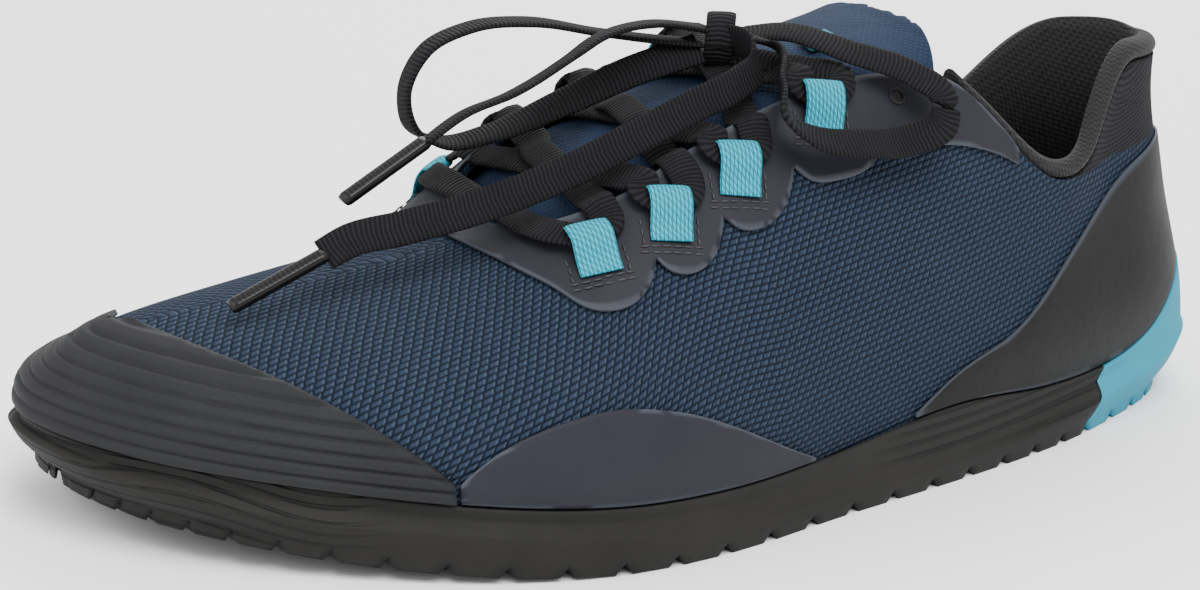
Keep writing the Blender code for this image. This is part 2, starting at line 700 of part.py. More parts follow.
def lining_section(share, side):
    """Closed outline of the lining at one station."""
    rows = np.array(UPPER_ROWS[-LINING_ROWS:])
    at = np.full(LINING_ROWS, share)
    inside = -(UPPER_WALL + GAP)
    taper = np.minimum(1, (rows - rows[0]) / LINING_THIN_ROWS + LINING_THIN)
    outer = lifted(at, rows, side, np.full(LINING_ROWS, inside))
    inner = lifted(at, rows, side, inside - LINING_PAD * taper)
    one = np.ones(1)
    edge_point = skin(one * share, one, side)[0]
    up = upward(one * share, one, side)[0]
    out = edge_point - outer[-1]
    out = out / np.linalg.norm(out)
    path = [(GAP, -ROLL_TUCK)] + [(COLLAR_ROLL * above, step) for above, step in ROLL_PATH]
    path.append((COLLAR_ROLL * ROLL_BACK[0], (inside - LINING_PAD) * ROLL_BACK[1]))
    roll = [edge_point + up * above + out * step for above, step in path]
    return list(outer[:-1]) + [outer[-1] + up * GAP] + roll + list(inner[-2::-2])


def make_collar_lining():
    shares = [share for share in upper_shares() if share < EYESTAY_CORNER - COLLAR_STOP]
    shares.append(EYESTAY_CORNER - COLLAR_END)
    around = [(share, -1) for share in shares[::-1]] + [(share, 1) for share in shares[1:]]
    sections = [lining_section(share, side) for share, side in around]
    return tube("collar_lining", sections, finish("lining_mesh", (0.01, 0.01, 0.011), 0.9))


def tube(name, sections, material):
    """Solid swept through closed outlines, with flat ends."""
    count = len(sections[0])
    points = [point for outline_points in sections for point in outline_points]
    faces = []
    for i in range(len(sections) - 1):
        for k in range(count):
            after = (k + 1) % count
            a, b = i * count, (i + 1) * count
            faces.append([a + after, a + k, b + k, b + after])
    last = (len(sections) - 1) * count
    faces.append(list(range(count)))
    faces.append([last + k for k in reversed(range(count))])
    return solid(name, points, faces, material)


# Tongue: under the walls on both sides, arched across the throat, free above it
TONGUE_SHARES = (0.362, 0.41, 0.47, 0.53, 0.59, 0.65, 0.69, 0.71, 0.7303)
TONGUE_DIP = ((0.0, 0.0), (0.65, 0.0), (0.69, 0.0004), (0.71, 0.0012), (0.7303, 0.0026), (1.0, 0.0026))
TONGUE_TUCK = 0.80
TUCK_ACROSS = 0.18
TONGUE_DEPTH = UPPER_WALL + 3 * GAP
TONGUE_COLUMNS = 12
TONGUE_LEAN = (0.90, 0.0, 0.30)
TONGUE_FREE = 0.007
ARCH_FULLNESS = 0.85


def tongue_point(share, across, depth, free):
    """Point of the tongue: across from 0 to 1, depth below the upper's outer face."""
    depth = depth + np.interp(share, *np.transpose(TONGUE_DIP))
    share = np.atleast_1d(share).astype(float)
    one = np.ones(1)
    if across < TUCK_ACROSS or across > 1 - TUCK_ACROSS:
        side = -1 if across < TUCK_ACROSS else 1
        part = (across if side < 0 else 1 - across) / TUCK_ACROSS
        height = one * (TONGUE_TUCK + (1 - TONGUE_TUCK) * part)
        point = lifted(share, height, side, -depth * one)[0]
    else:
        u = (across - TUCK_ACROSS) / (1 - 2 * TUCK_ACROSS)
        start = lifted(share, one, -1, -depth * one)[0]
        end = lifted(share, one, 1, -depth * one)[0]
        span = np.linalg.norm(end - start) * ARCH_FULLNESS
        leave = upward(share, one, -1)[0] * span
        arrive = -upward(share, one, 1)[0] * span
        point = ((1 + 2 * u) * (1 - u) ** 2 * start + u * (1 - u) ** 2 * leave
                 + u * u * (3 - 2 * u) * end + u * u * (u - 1) * arrive)
    u = min(max((across - TUCK_ACROSS) / (1 - 2 * TUCK_ACROSS), 0.0), 1.0)
    rise = free * TONGUE_FREE * math.sin(math.pi * u)
    return point + np.array(TONGUE_LEAN) * rise


def make_tongue():
    rows = [(TONGUE_SHARES[0], 1.0), (TONGUE_SHARES[0], 0.5)] + [(share, 0.0) for share in TONGUE_SHARES]
    columns = np.linspace(0, 1, TONGUE_COLUMNS)
    top = np.array([[tongue_point(share, c, TONGUE_DEPTH, free) for c in columns] for share, free in rows])
    bottom = np.array([[tongue_point(share, c, TONGUE_DEPTH + TONGUE_PAD, free) for c in columns]
                       for share, free in rows])
    sheets = Sheets()
    sheets.add(top, bottom, True)
    return sheets.build("tongue", finish("tongue_mesh", (0.03, 0.05, 0.10), 0.9))


# Lace loops: webbing folded over the throat edge, one above each eyestay tab
LOOP_PLACES = (0.6900, 0.6256, 0.5616, 0.4800)
LOOP_FEET = (0.840, 0.845, 0.858, 0.905)
LOOP_WIDTH = 0.0070
WEBBING = 0.0008
LOOP_TOP = 0.97
LOOP_RISE = (0.0001, 0.0003, 0.0008)
# The fold's path above the throat edge: up along the wall, and out from the webbing on it
LOOP_FOLD = ((0.0016, 0.0007), (0.0032, 0.0002), (0.0040, -0.0010), (0.0036, -0.0022), (0.0022, -0.0027))


def band(name, left, right, out, thickness, material):
    """Flat band between two lines of points, thickened outwards along a direction at each point."""
    sections = []
    for a, b, normal in zip(left, right, out):
        sections.append([a, a + normal * thickness, b + normal * thickness, b])
    return tube(name, sections, material)


def loop_edge(share, side, foot):
    """One long edge of a loop's webbing, and the directions out of its face."""
    heights = np.array([foot, (foot + LOOP_TOP) / 2, LOOP_TOP])
    at = np.full(3, share)
    rest = GAP + FILM + GAP + np.array(LOOP_RISE)
    path = list(lifted(at, heights, side, rest))
    out = list(skin_normal(at, heights, side))
    one = np.ones(1)
    base = skin(one * share, one, side)[0]
    up = upward(one * share, one, side)[0]
    away = skin_normal(one * share, one, side)[0]
    for rise, step in LOOP_FOLD:
        path.append(base + up * rise + away * (GAP + FILM + GAP + step))
    runs = np.gradient(np.array(path[3:]), axis=0)
    run_along = np.cross(up, away)
    for run in runs:
        normal = np.cross(run, run_along)
        out.append(normal / np.linalg.norm(normal) * np.sign(np.dot(np.cross(up, run_along), away)))
    return path, out


def make_lace_loops():
    webbing = finish("loop_webbing", (0.05, 0.36, 0.45), 0.8)
    half = LOOP_WIDTH / 2 / SHOE_LENGTH
    for side, name in ((-1, "outer"), (1, "inner")):
        for number, (share, foot) in enumerate(zip(LOOP_PLACES, LOOP_FEET)):
            left, out = loop_edge(share - half, side, foot)
            right = loop_edge(share + half, side, foot)[0]
            if side > 0:
                left, right = right, left
            band("lace_loop_%s_%d" % (name, number + 1), left, right, out, WEBBING, webbing)


# Lace crossings over the tongue, joined where they meet, from loop to loop
LACE_LIFT = 0.0010
LACE_BARS = ((0, 0), (0, 1), (1, 0), (1, 2), (2, 1), (2, 3), (3, 2))
BAR_SECTIONS = 6
BAR_STEP = 0.00013
BAR_STAGGER = 0.0013
LOOP_REACH = 0.0072
BAR_SEARCH = (0.20, 0.48)
BAR_TRIES = 57


def bar_end(share, side):
    """Where across the tongue a lace comes out of a loop."""
    one = np.ones(1)
    edge_point = skin(one * share, one, side)[0]
    spots = np.linspace(*BAR_SEARCH, BAR_TRIES)
    if side > 0:
        spots = 1 - spots
    for across in spots:
        if np.linalg.norm(tongue_point(share, across, 0.0, 0.0) - edge_point) > LOOP_REACH:
            return across
    return spots[-1]


def make_lace_crossings():
    black = finish("lace_cord", (0.012, 0.012, 0.013), 0.8)
    bars = []
    for number, (first, last) in enumerate(LACE_BARS):
        start = LOOP_PLACES[first]
        end = LOOP_PLACES[last]
        stagger = BAR_STAGGER * number
        across = np.linspace(bar_end(start, -1) + stagger, bar_end(end, 1) - stagger, BAR_SECTIONS)
        shares = np.linspace(start, end, BAR_SECTIONS)
        lift = LACE_LIFT + BAR_STEP * number
        depth = TONGUE_DEPTH - lift
        under = [tongue_point(share, c, depth, 0.0) for share, c in zip(shares, across)]
        over = [tongue_point(share, c, depth - LACE_THICKNESS, 0.0) for share, c in zip(shares, across)]
        run = under[-1] - under[0]
        left = []
        right = []
        out = []
        for low, high in zip(under, over):
            normal = (high - low) / np.linalg.norm(high - low)
            aside = np.cross(normal, run)
            aside = aside / np.linalg.norm(aside) * LACE_WIDTH / 2
            left.append(low + aside)
            right.append(low - aside)
            out.append(normal)
        bars.append(band("lace_bar_%d" % number, left, right, out, LACE_THICKNESS, black))
    whole = bars[0]
    whole.name = "lace_crossings"
    for bar in bars[1:]:
        join = whole.modifiers.new("join", "BOOLEAN")
        join.operation = "UNION"
        join.solver = "EXACT"
        join.object = bar
    with_joins = bpy.context.evaluated_depsgraph_get()
    joined = bpy.data.meshes.new_from_object(whole.evaluated_get(with_joins))
    whole.modifiers.clear()
    whole.data = joined
    for bar in bars[1:]:
        bpy.data.objects.remove(bar, do_unlink=True)
    return whole


# Free lace: places in millimetres, then the sideways and upward parts of the direction
# across the lace, which is flat
BOW_LEFT = (
    (-11.0, -2.5, 83.6, 0.8, 0.4), (-16.7, 0.5, 84.4, 0.9, 0.4), (-27.3, 5.0, 85.4, 1.0, 0.2),
    (-41.3, 9.0, 87.3, 1.0, 0.1), (-52.7, 12.0, 86.2, 1.0, 0.1), (-61.2, 14.0, 81.8, 1.0, 0.0),
    (-64.6, 15.0, 73.2, 1.0, 0.0), (-63.0, 14.0, 66.9, 1.0, 0.0), (-57.8, 12.0, 64.3, 1.0, 0.2),
    (-48.4, 9.0, 66.0, 0.8, 0.5), (-35.4, 5.0, 71.8, 0.6, 0.8), (-23.0, 0.0, 78.4, 0.4, 0.9),
    (-11.6, -4.0, 82.2, 0.4, 0.9),
)
BOW_RIGHT = (
    (1.7, -6.5, 85.8, 0.7, 0.7), (4.9, -11.0, 87.2, 0.7, 0.8), (14.0, -22.4, 84.8, 0.5, 0.9),
    (22.7, -29.9, 82.0, 0.5, 0.9), (27.3, -34.9, 78.0, 0.6, 0.8), (25.5, -37.5, 73.4, 0.5, 0.9),
    (18.6, -36.0, 70.3, 0.5, 0.9), (7.3, -36.0, 70.4, 0.5, 0.9), (-4.2, -34.0, 72.1, 0.5, 0.9),
    (-8.3, -31.0, 74.8, 0.3, 1.0), (-5.0, -24.5, 79.6, 0.6, 0.8), (1.6, -13.0, 85.0, 0.8, 0.6),
)
LACE_END_LONG = (
    (-5.4, -9.7, 84.9, 0.3, 0.95), (-5.2, -14.2, 84.9, 0.5, 0.9), (-6.0, -17.0, 82.3, 0.4, 0.9),
    (-12.1, -19.3, 79.6, 0.4, 0.9), (-23.0, -19.5, 75.8, 0.4, 0.9), (-35.8, -18.9, 70.6, 0.4, 0.9),
    (-48.9, -17.0, 64.8, 0.4, 0.9), (-66.2, -14.0, 58.9, 0.5, 0.8), (-80.8, -11.0, 55.4, 0.7, 0.7),
    (-89.9, -8.0, 53.1, 0.8, 0.5), (-94.5, -7.0, 50.6, 0.9, 0.4),
)
LACE_END_SHORT = (
    (-8.5, -2.5, 86.9, 1.0, 0.0), (-20.4, -1.5, 88.0, 1.0, 0.2), (-33.0, -2.0, 85.9, 1.0, 0.1),
    (-39.0, -2.0, 82.6, 1.0, 0.0), (-53.3, -3.0, 76.4, 1.0, 0.0), (-63.0, -2.5, 73.3, 1.0, 0.0),
    (-71.0, -2.0, 68.4, 1.0, 0.1),
)
KNOT_MIDDLE = (-4.3, -3.5, 84.5)
KNOT_RINGS = ((-5.6, 2.2, 1.6), (-4.4, 4.0, 2.6), (0.0, 4.6, 3.0), (4.4, 4.0, 2.6), (5.6, 2.2, 1.6))
KNOT_SIDES = 8
TIP_LENGTH = 0.019
TIP_WIDTH = 0.0034
TIP_THICKNESS = 0.0019
TIP_ACROSS = (0.9, 0.3)


def cord_sections(rows, width, thickness):
    """Outlines of a flat lace along its places, and its directions."""
    table = np.array(rows)
    places = table[:, :3] * MILLIMETRE
    runs = np.gradient(places, axis=0)
    sections = []
    for place, run, row in zip(places, runs, table):
        run = run / np.linalg.norm(run)
        hint = np.array([0.0, row[3], row[4]])
        aside = hint - run * np.dot(hint, run)
        aside = aside / np.linalg.norm(aside)
        out = np.cross(run, aside)
        sections.append([place + aside * width / 2 * a + out * thickness / 2 * b
                         for a, b in ((-1, -1), (-1, 1), (1, 1), (1, -1))])
    return sections


def make_free_lace():
    black = bpy.data.materials["lace_cord"]
    plastic = finish("lace_tip", (0.015, 0.015, 0.017), 0.25)
    for name, rows in (("lace_bow_left", BOW_LEFT), ("lace_bow_right", BOW_RIGHT),
                       ("lace_end_long", LACE_END_LONG), ("lace_end_short", LACE_END_SHORT)):
        tube(name, cord_sections(rows, LACE_WIDTH, LACE_THICKNESS), black)
    for name, rows in (("lace_tip_long", LACE_END_LONG), ("lace_tip_short", LACE_END_SHORT)):
        last = np.array(rows[-1][:3])
        run = last - np.array(rows[-2][:3])
        run = run / np.linalg.norm(run)
        start = last + run * GAP / MILLIMETRE
        end = start + run * TIP_LENGTH / MILLIMETRE
        tip = [(*place, *TIP_ACROSS) for place in (start, (start + end) / 2, end)]
        tube(name, cord_sections(tip, TIP_WIDTH, TIP_THICKNESS), plastic)
    middle = np.array(KNOT_MIDDLE)
    rings = []
    turn = np.arange(KNOT_SIDES) * math.tau / KNOT_SIDES
    for along_knot, half_width, half_height in KNOT_RINGS:
        ring = np.stack([half_width * np.cos(turn), np.full(KNOT_SIDES, along_knot),
                         half_height * np.sin(turn)], -1)
        rings.append((ring + middle) * MILLIMETRE)
    tube("lace_knot", rings, black)


# Small label on the tongue, above the last crossing
LABEL_SHARES = (0.425, 0.455)
LABEL_ACROSS = (0.36, 0.44)
LABEL_THICKNESS = 0.0008
LABEL_REST = 0.0005
LABEL_GRID = (3, 4)


def make_label():
    shares = np.linspace(*LABEL_SHARES, LABEL_GRID[0])
    columns = np.linspace(*LABEL_ACROSS, LABEL_GRID[1])
    bottom = np.array([[tongue_point(share, c, TONGUE_DEPTH - LABEL_REST, 0.0) for c in columns]
                       for share in shares])
    top = np.array([[tongue_point(share, c, TONGUE_DEPTH - GAP - LABEL_THICKNESS, 0.0) for c in columns]
                    for share in shares])
    sheets = Sheets()
    sheets.add(top, bottom, True)
    return sheets.build("tongue_label", finish("label_weave", (0.05, 0.30, 0.38), 0.8))


def clear_scene():
    for thing in list(bpy.context.scene.objects):
        bpy.data.objects.remove(thing, do_unlink=True)


def main():
    clear_scene()
    make_upper()
    make_sole()
    make_insole()
    make_toe_bumper()
    make_side_films()
    make_heel_counter()
    make_eyestay()
    make_collar_lining()
    make_tongue()
    make_lace_loops()
    make_lace_crossings()
    make_label()
    make_free_lace()


main()
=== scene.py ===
"""Looks of the barefoot running shoe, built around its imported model.

Metres, +Z up, toe towards -X, outer side towards -Y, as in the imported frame.
"""

import math

import bmesh
import bpy
import numpy as np
from mathutils import Matrix, Vector
from mathutils.bvhtree import BVHTree


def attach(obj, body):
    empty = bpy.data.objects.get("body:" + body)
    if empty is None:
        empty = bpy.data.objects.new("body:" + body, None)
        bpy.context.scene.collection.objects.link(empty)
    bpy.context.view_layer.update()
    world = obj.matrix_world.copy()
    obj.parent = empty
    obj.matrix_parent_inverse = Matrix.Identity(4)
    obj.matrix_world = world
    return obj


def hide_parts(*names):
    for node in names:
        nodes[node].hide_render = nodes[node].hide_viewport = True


MM = 0.001
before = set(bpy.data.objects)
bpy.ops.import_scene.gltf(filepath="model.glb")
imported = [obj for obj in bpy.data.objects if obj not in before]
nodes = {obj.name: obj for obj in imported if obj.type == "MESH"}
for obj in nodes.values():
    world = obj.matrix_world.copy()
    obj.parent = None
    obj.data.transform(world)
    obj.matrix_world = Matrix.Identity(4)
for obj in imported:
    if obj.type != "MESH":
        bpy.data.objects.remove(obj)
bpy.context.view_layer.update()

# Lace, as in the frame's solids
LACE_WIDTH = 6.5 * MM
LACE_THICKNESS = 1.3 * MM
LACE_STEP = 0.8 * MM

# Places below are given in the drawing's own frame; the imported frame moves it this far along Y
SIDEWAYS = 1.25 * MM
ASIDE = np.array([0, SIDEWAYS, 0])

# Slope of the sole's and the bumper's mould lines along the toe
TOE_SLOPE = 0.098

# Sockets that are told apart by their place only
OBJECT_COORDINATES = 3
ATTRIBUTE_VECTOR = 1
MIX_COLOURS = (6, 7)
MIX_RESULT = 2


# Materials
class Value:
    """A number that varies over a surface, for sums written as in Python."""

    def __init__(self, paint, socket):
        self.paint = paint
        self.socket = socket

    def result(self, operation, *others):
        return self.paint.node("ShaderNodeMath", {"operation": operation}, self, *others)

    def __add__(self, other):
        return self.result("ADD", other)

    def __radd__(self, other):
        return self.result("ADD", other)

    def __sub__(self, other):
        return self.result("SUBTRACT", other)

    def __rsub__(self, other):
        return self.paint.node("ShaderNodeMath", {"operation": "SUBTRACT"}, other, self)

    def __mul__(self, other):
        return self.result("MULTIPLY", other)

    def __rmul__(self, other):
        return self.result("MULTIPLY", other)

    def __truediv__(self, other):
        return self.result("DIVIDE", other)

    def floor(self):
        return self.result("FLOOR")

    def fraction(self):
        return self.result("FRACT")

    def sine(self):
        return self.result("SINE")

    def size(self):
        return self.result("ABSOLUTE")

    def power(self, other):
        return self.result("POWER", other)

    def least(self, other):
        return self.result("MINIMUM", other)

    def most(self, other):
        return self.result("MAXIMUM", other)

    def wave(self):
        """Sine between 0 and 1."""
        return self.sine() * 0.5 + 0.5

    def ramp(self, low, high):
        """0 below low, 1 above high, smooth in between."""
        return self.paint.node("ShaderNodeMapRange", {"interpolation_type": "SMOOTHSTEP"},
                               self, low, high, 0.0, 1.0)


class Paint:
    """One material, with its nodes made by one method."""

    def __init__(self, name, specular, coat=0.0, coat_roughness=0.3, sheen=0.0):
        self.material = bpy.data.materials.new(name)
        self.material.use_nodes = True
        self.tree = self.material.node_tree
        self.shader = self.tree.nodes["Principled BSDF"]
        self.shader.inputs["Metallic"].default_value = 0.0
        self.shader.inputs["Coat Weight"].default_value = coat
        self.shader.inputs["Coat Roughness"].default_value = coat_roughness
        self.shader.inputs["Specular IOR Level"].default_value = specular
        self.shader.inputs["Sheen Weight"].default_value = sheen

    def node(self, kind, settings, *inputs, output=0):
        """Add a node; None leaves a socket as it is."""
        made = self.tree.nodes.new(kind)
        for key, value in settings.items():
            setattr(made, key, value)
        for socket, value in zip(made.inputs, inputs):
            if value is None:
                continue
            if isinstance(value, Value):
                value = value.socket
            if isinstance(value, bpy.types.NodeSocket):
                self.tree.links.new(value, socket)
            else:
                socket.default_value = value
        return Value(self, made.outputs[output])

    def with_parts(self, vector):
        """A vector, and its three numbers."""
        split = self.node("ShaderNodeSeparateXYZ", {}, vector).socket.node
        return vector, [Value(self, socket) for socket in split.outputs]

    def place(self):
        """Object coordinates in millimetres."""
        point = self.node("ShaderNodeTexCoord", {}, output=OBJECT_COORDINATES)
        scaled = self.node("ShaderNodeVectorMath", {"operation": "SCALE"}, point)
        scaled.socket.node.inputs["Scale"].default_value = 1 / MM
        return self.with_parts(scaled)

    def weave(self):
        """The piece's own weave coordinates, along and across in millimetres on cloth."""
        return self.with_parts(self.node("ShaderNodeAttribute", {"attribute_name": "weave"},
                                         output=ATTRIBUTE_VECTOR))

    def noise(self, point, scale, detail=2.0):
        """Cloudy pattern, with this many clouds to a millimetre."""
        return self.node("ShaderNodeTexNoise", {}, point, None, scale, detail, 0.5)

    def blend(self, factor, low, high):
        """Colour between two colours."""
        made = self.tree.nodes.new("ShaderNodeMix")
        made.data_type = "RGBA"
        self.tree.links.new(factor.socket, made.inputs["Factor"])
        for number, colour in zip(MIX_COLOURS, (low, high)):
            if isinstance(colour, Value):
                self.tree.links.new(colour.socket, made.inputs[number])
            else:
                made.inputs[number].default_value = (*colour, 1)
        return Value(self, made.outputs[MIX_RESULT])

    def colour(self, value):
        if isinstance(value, Value):
            self.tree.links.new(value.socket, self.shader.inputs["Base Color"])
        else:
            self.shader.inputs["Base Color"].default_value = (*value, 1)

    def roughness(self, value):
        if isinstance(value, Value):
            self.tree.links.new(value.socket, self.shader.inputs["Roughness"])
        else:
            self.shader.inputs["Roughness"].default_value = value

    def relief(self, height, depth, strength):
        """Raise the surface by a height of 0 to 1 times a depth in metres."""
        made = self.tree.nodes.new("ShaderNodeBump")
        made.inputs["Strength"].default_value = strength
        made.inputs["Distance"].default_value = depth
        self.tree.links.new(height.socket, made.inputs["Height"])
        self.tree.links.new(made.outputs[0], self.shader.inputs["Normal"])


# How square a raised stitch is, across its row and along it
ROW_SQUARENESS = 2.2
STITCH_SQUARENESS = 4.0


def scales(along, across, pitch_along, pitch_across, lean=0.35):
    """Height of rows of raised stitches, each half a stitch on, and the way along a stitch."""
    row = across / pitch_across
    shift = (row.floor() * 0.5).fraction()
    in_row = row.fraction()
    in_stitch = (along / pitch_along + shift + in_row * lean).fraction()
    from_middle = (in_row * 2 - 1).size()
    from_centre = (in_stitch * 2 - 1).size()
    hump = (1 - from_middle.power(ROW_SQUARENESS)) * (1 - from_centre.power(STITCH_SQUARENESS))
    return hump, in_stitch


# Knit, in millimetres: a stitch along its row and from row to row, the raised knot's place along a
# stitch, and where the collar's mesh starts
KNIT_STITCH = (2.15, 1.22)
RAISED_KNOT_PLACE = 0.78
RAISED_KNOT_SHARPNESS = 6
COLLAR_STITCH = (1.3, 0.8)
COLLAR_FRONT = 71.0
COLLAR_FADE = 5.0
COLLAR_LINE_AT = 75.0
COLLAR_LINE_HEIGHT = 56.3
COLLAR_LINE_SLOPE = 0.06
COLLAR_LINE_FADE = 0.5


def knit_paint():
    """Blue knit with rows of raised knots; the collar's outside is black mesh."""
    paint = Paint("blue_knit", specular=0.08)
    point, (x, _, z) = paint.place()
    read, (along, across, _) = paint.weave()
    wobble = paint.noise(read, 0.35)
    hump, in_stitch = scales(along + wobble * 0.5, across + wobble * 0.25, *KNIT_STITCH)
    knot = (1 - ((in_stitch - RAISED_KNOT_PLACE) * RAISED_KNOT_SHARPNESS).size().least(1.0)) * hump
    threads = (along * 9 + across * 5).wave() * hump
    lit = (hump * 0.72 + knot * 0.35 + threads * 0.12).least(1.0)
    patch = paint.noise(point, 0.05, 3.0)
    deep = paint.blend(patch, (0.0024, 0.0038, 0.0075), (0.0034, 0.0055, 0.0098))
    bright = paint.blend(patch, (0.0135, 0.0215, 0.0410), (0.0190, 0.0285, 0.0500))
    blue = paint.blend(hump.power(0.8), deep, bright)
    blue = paint.blend((knot * 0.9 + threads * 0.12).least(1.0), blue, (0.043, 0.066, 0.092))
    mesh_hump, _ = scales(along, across, *COLLAR_STITCH)
    black = paint.blend(mesh_hump, (0.004, 0.004, 0.0045), (0.020, 0.020, 0.023))
    collar_line = (x - COLLAR_LINE_AT) * COLLAR_LINE_SLOPE
    collar = ((x - COLLAR_FRONT).ramp(0.0, COLLAR_FADE)
              * (z - COLLAR_LINE_HEIGHT - collar_line).ramp(0.0, COLLAR_LINE_FADE))
    paint.colour(paint.blend(collar, blue, black))
    paint.roughness(0.86)
    paint.relief(lit * (1 - collar) + mesh_hump * collar * 0.4, 0.55 * MM, 0.9)
    return paint.material


FILM_EDGE = (0.075, 0.085, 0.105)
FILM_GRAIN = 0.12 * MM


def film_paint(name, dark, light, roughness):
    """Thin bonded film, nearly smooth, lighter along its cut edge."""
    paint = Paint(name, specular=0.11)
    point, _ = paint.place()
    cloud = paint.noise(point, 0.08, 3.0)
    fine = paint.noise(point, 3.0)
    _, (edge, _, _) = paint.weave()
    face = paint.blend(cloud * 0.7 + fine * 0.3, dark, light)
    paint.colour(paint.blend(edge * 0.55, face, FILM_EDGE))
    paint.roughness(roughness + cloud * 0.12)
    paint.relief(fine * 0.5 + paint.noise(point, 0.35), FILM_GRAIN, 0.6)
    return paint.material


# Mould lines on the sole's side, in millimetres
REAR_LINES_FROM = 4.0
REAR_LINES_FADE = 22.0
REAR_LINE_PITCH = 2.5
TOE_LINES_FROM = 96.0
TOE_LINES_FADE = 14.0
TOE_LINE_PITCH = 2.3
TOE_SWING_AT = 118.0
TOE_SWING = 1.6
LINES_FOOT = 5.0


def rubber_paint(name, dark, light, ribbed=False):
    """Moulded rubber; ribbed says that it has the sole's mould lines, with painted shade darkening
    their grooves.
    """
    paint = Paint(name, specular=0.13)
    point, (x, _, z) = paint.place()
    cloud = paint.noise(point, 0.06, 3.0)
    dust = paint.noise(point, 0.9, 4.0)
    height = dust * 0.06
    shade = cloud * 0.6 + dust * 0.4
    if ribbed:
        at_rear = (x - REAR_LINES_FROM).ramp(0.0, REAR_LINES_FADE)
        rear_line = z - x * 0.02 + (x * 0.045).sine() * 0.5
        rear_share = ((rear_line / REAR_LINE_PITCH).fraction() * 2 - 1).size()
        at_toe = (x * -1 - TOE_LINES_FROM).ramp(0.0, TOE_LINES_FADE)
        toe_line = z + x * TOE_SLOPE + ((x + TOE_SWING_AT) * 0.16).sine() * TOE_SWING
        toe_share = ((toe_line / TOE_LINE_PITCH).fraction() * 2 - 1).size()
        grooves = rear_share.ramp(0.45, 0.95) * at_rear + toe_share.ramp(0.6, 0.97) * at_toe
        groove = grooves.least(1.0) * (z - LINES_FOOT).ramp(0.0, 1.5)
        height = height + (1 - groove) * 0.94
        # Painted shade: the colour is darker inside the mould-line grooves
        shade = shade * (1 - groove * 0.55)
    paint.colour(paint.blend(shade, dark, light))
    paint.roughness(0.62 + dust * 0.16)
    paint.relief(height, 0.5 * MM, 0.9)
    return paint.material


WEBBING_CELL = (1.5, 0.78)
LACE_RIB = 0.86
TIP_RIB = 0.9


def webbing_paint():
    """Turquoise webbing of slanted cells."""
    paint = Paint("turquoise_webbing", specular=0.12)
    _, (along, across, _) = paint.weave()
    hump, _ = scales(along, across, *WEBBING_CELL, lean=0.9)
    threads = (along * 14).wave() * hump
    lit = hump * 0.85 + threads * 0.15
    paint.colour(paint.blend(lit.power(0.7), (0.004, 0.09, 0.13), (0.022, 0.37, 0.49)))
    paint.roughness(0.75)
    paint.relief(lit, 0.3 * MM, 0.9)
    return paint.material


def lace_paint():
    """Flat black lace with fine ribs across it."""
    paint = Paint("black_lace", specular=0.08)
    read, (along, across, _) = paint.weave()
    slant = along + across.size() * 0.12
    rib = (slant * (math.tau / LACE_RIB)).wave()
    threads = (across * 11 + along * 1.5).wave()
    tone = paint.noise(read, 0.09)
    lit = rib * 0.8 + threads * 0.2
    low = paint.blend(tone, (0.0022, 0.0022, 0.0026), (0.0035, 0.0035, 0.004))
    high = paint.blend(tone, (0.0105, 0.0105, 0.012), (0.016, 0.016, 0.018))
    paint.colour(paint.blend(lit, low, high))
    paint.roughness(0.78)
    paint.relief(lit, 0.28 * MM, 0.9)
    return paint.material


def mesh_paint(name, dark, light, pitch, depth):
    """Spacer mesh: small open cells in uneven rows, on Object coordinates."""
    paint = Paint(name, specular=0.1, sheen=0.05)
    point, (x, y, z) = paint.place()
    uneven = paint.noise(point, 0.5) * 3.0
    waves = [(value * (math.tau / pitch) + uneven).sine()
             for value in (x + z * 0.5, y + z * 0.4, z + x * 0.3)]
    near = (waves[0] + waves[1] + waves[2]) * 0.25 + 0.5
    fine = paint.noise(point, 2.2, 3.0)
    paint.colour(paint.blend((near * 0.45 + fine * 0.5).most(0.0).least(1.0), dark, light))
    paint.roughness(0.88)
    paint.relief(near * 0.8 + fine * 0.5, depth * MM, 0.8)
    return paint.material


TWILL_TURN = 4.2


def tongue_paint():
    """Fine blue twill with soft folds."""
    paint = Paint("blue_cloth", specular=0.08)
    point, (x, y, _) = paint.place()
    twill = (x * TWILL_TURN + y * TWILL_TURN).wave() * (x * TWILL_TURN - y * TWILL_TURN).wave()
    cloud = paint.noise(point, 0.12, 3.0)
    fold = paint.noise(point, 0.35)
    tone = twill * 0.35 + cloud * 0.65
    paint.colour(paint.blend(tone, (0.0065, 0.0115, 0.0245), (0.018, 0.032, 0.064)))
    paint.roughness(0.85)
    paint.relief(twill * 0.35 + fold, 0.4 * MM, 0.8)
    return paint.material


def tip_paint():
    """Dark lace end under a clear coat."""
    paint = Paint("clear_coated_tip", coat=0.15, coat_roughness=0.2, specular=0.12)
    _, (along, across, _) = paint.weave()
    rib = (along * (math.tau / TIP_RIB)).wave() * (1 - across.size().ramp(0.6, 1.6))
    paint.colour(paint.blend(rib, (0.003, 0.003, 0.003), (0.011, 0.0105, 0.0105)))
    paint.roughness(0.36)
    paint.relief(rib, 0.1 * MM, 0.5)
    return paint.material


def thread_paint(name, dark, light):
    """Twisted thread; also the near-black inside of a hole, which is painted shade."""
    paint = Paint(name, specular=0.4)
    point, _ = paint.place()
    fine = paint.noise(point, 4.0)
    paint.colour(paint.blend(fine, dark, light))
    paint.roughness(0.55)
    paint.relief(fine, 0.1 * MM, 0.5)
    return paint.material


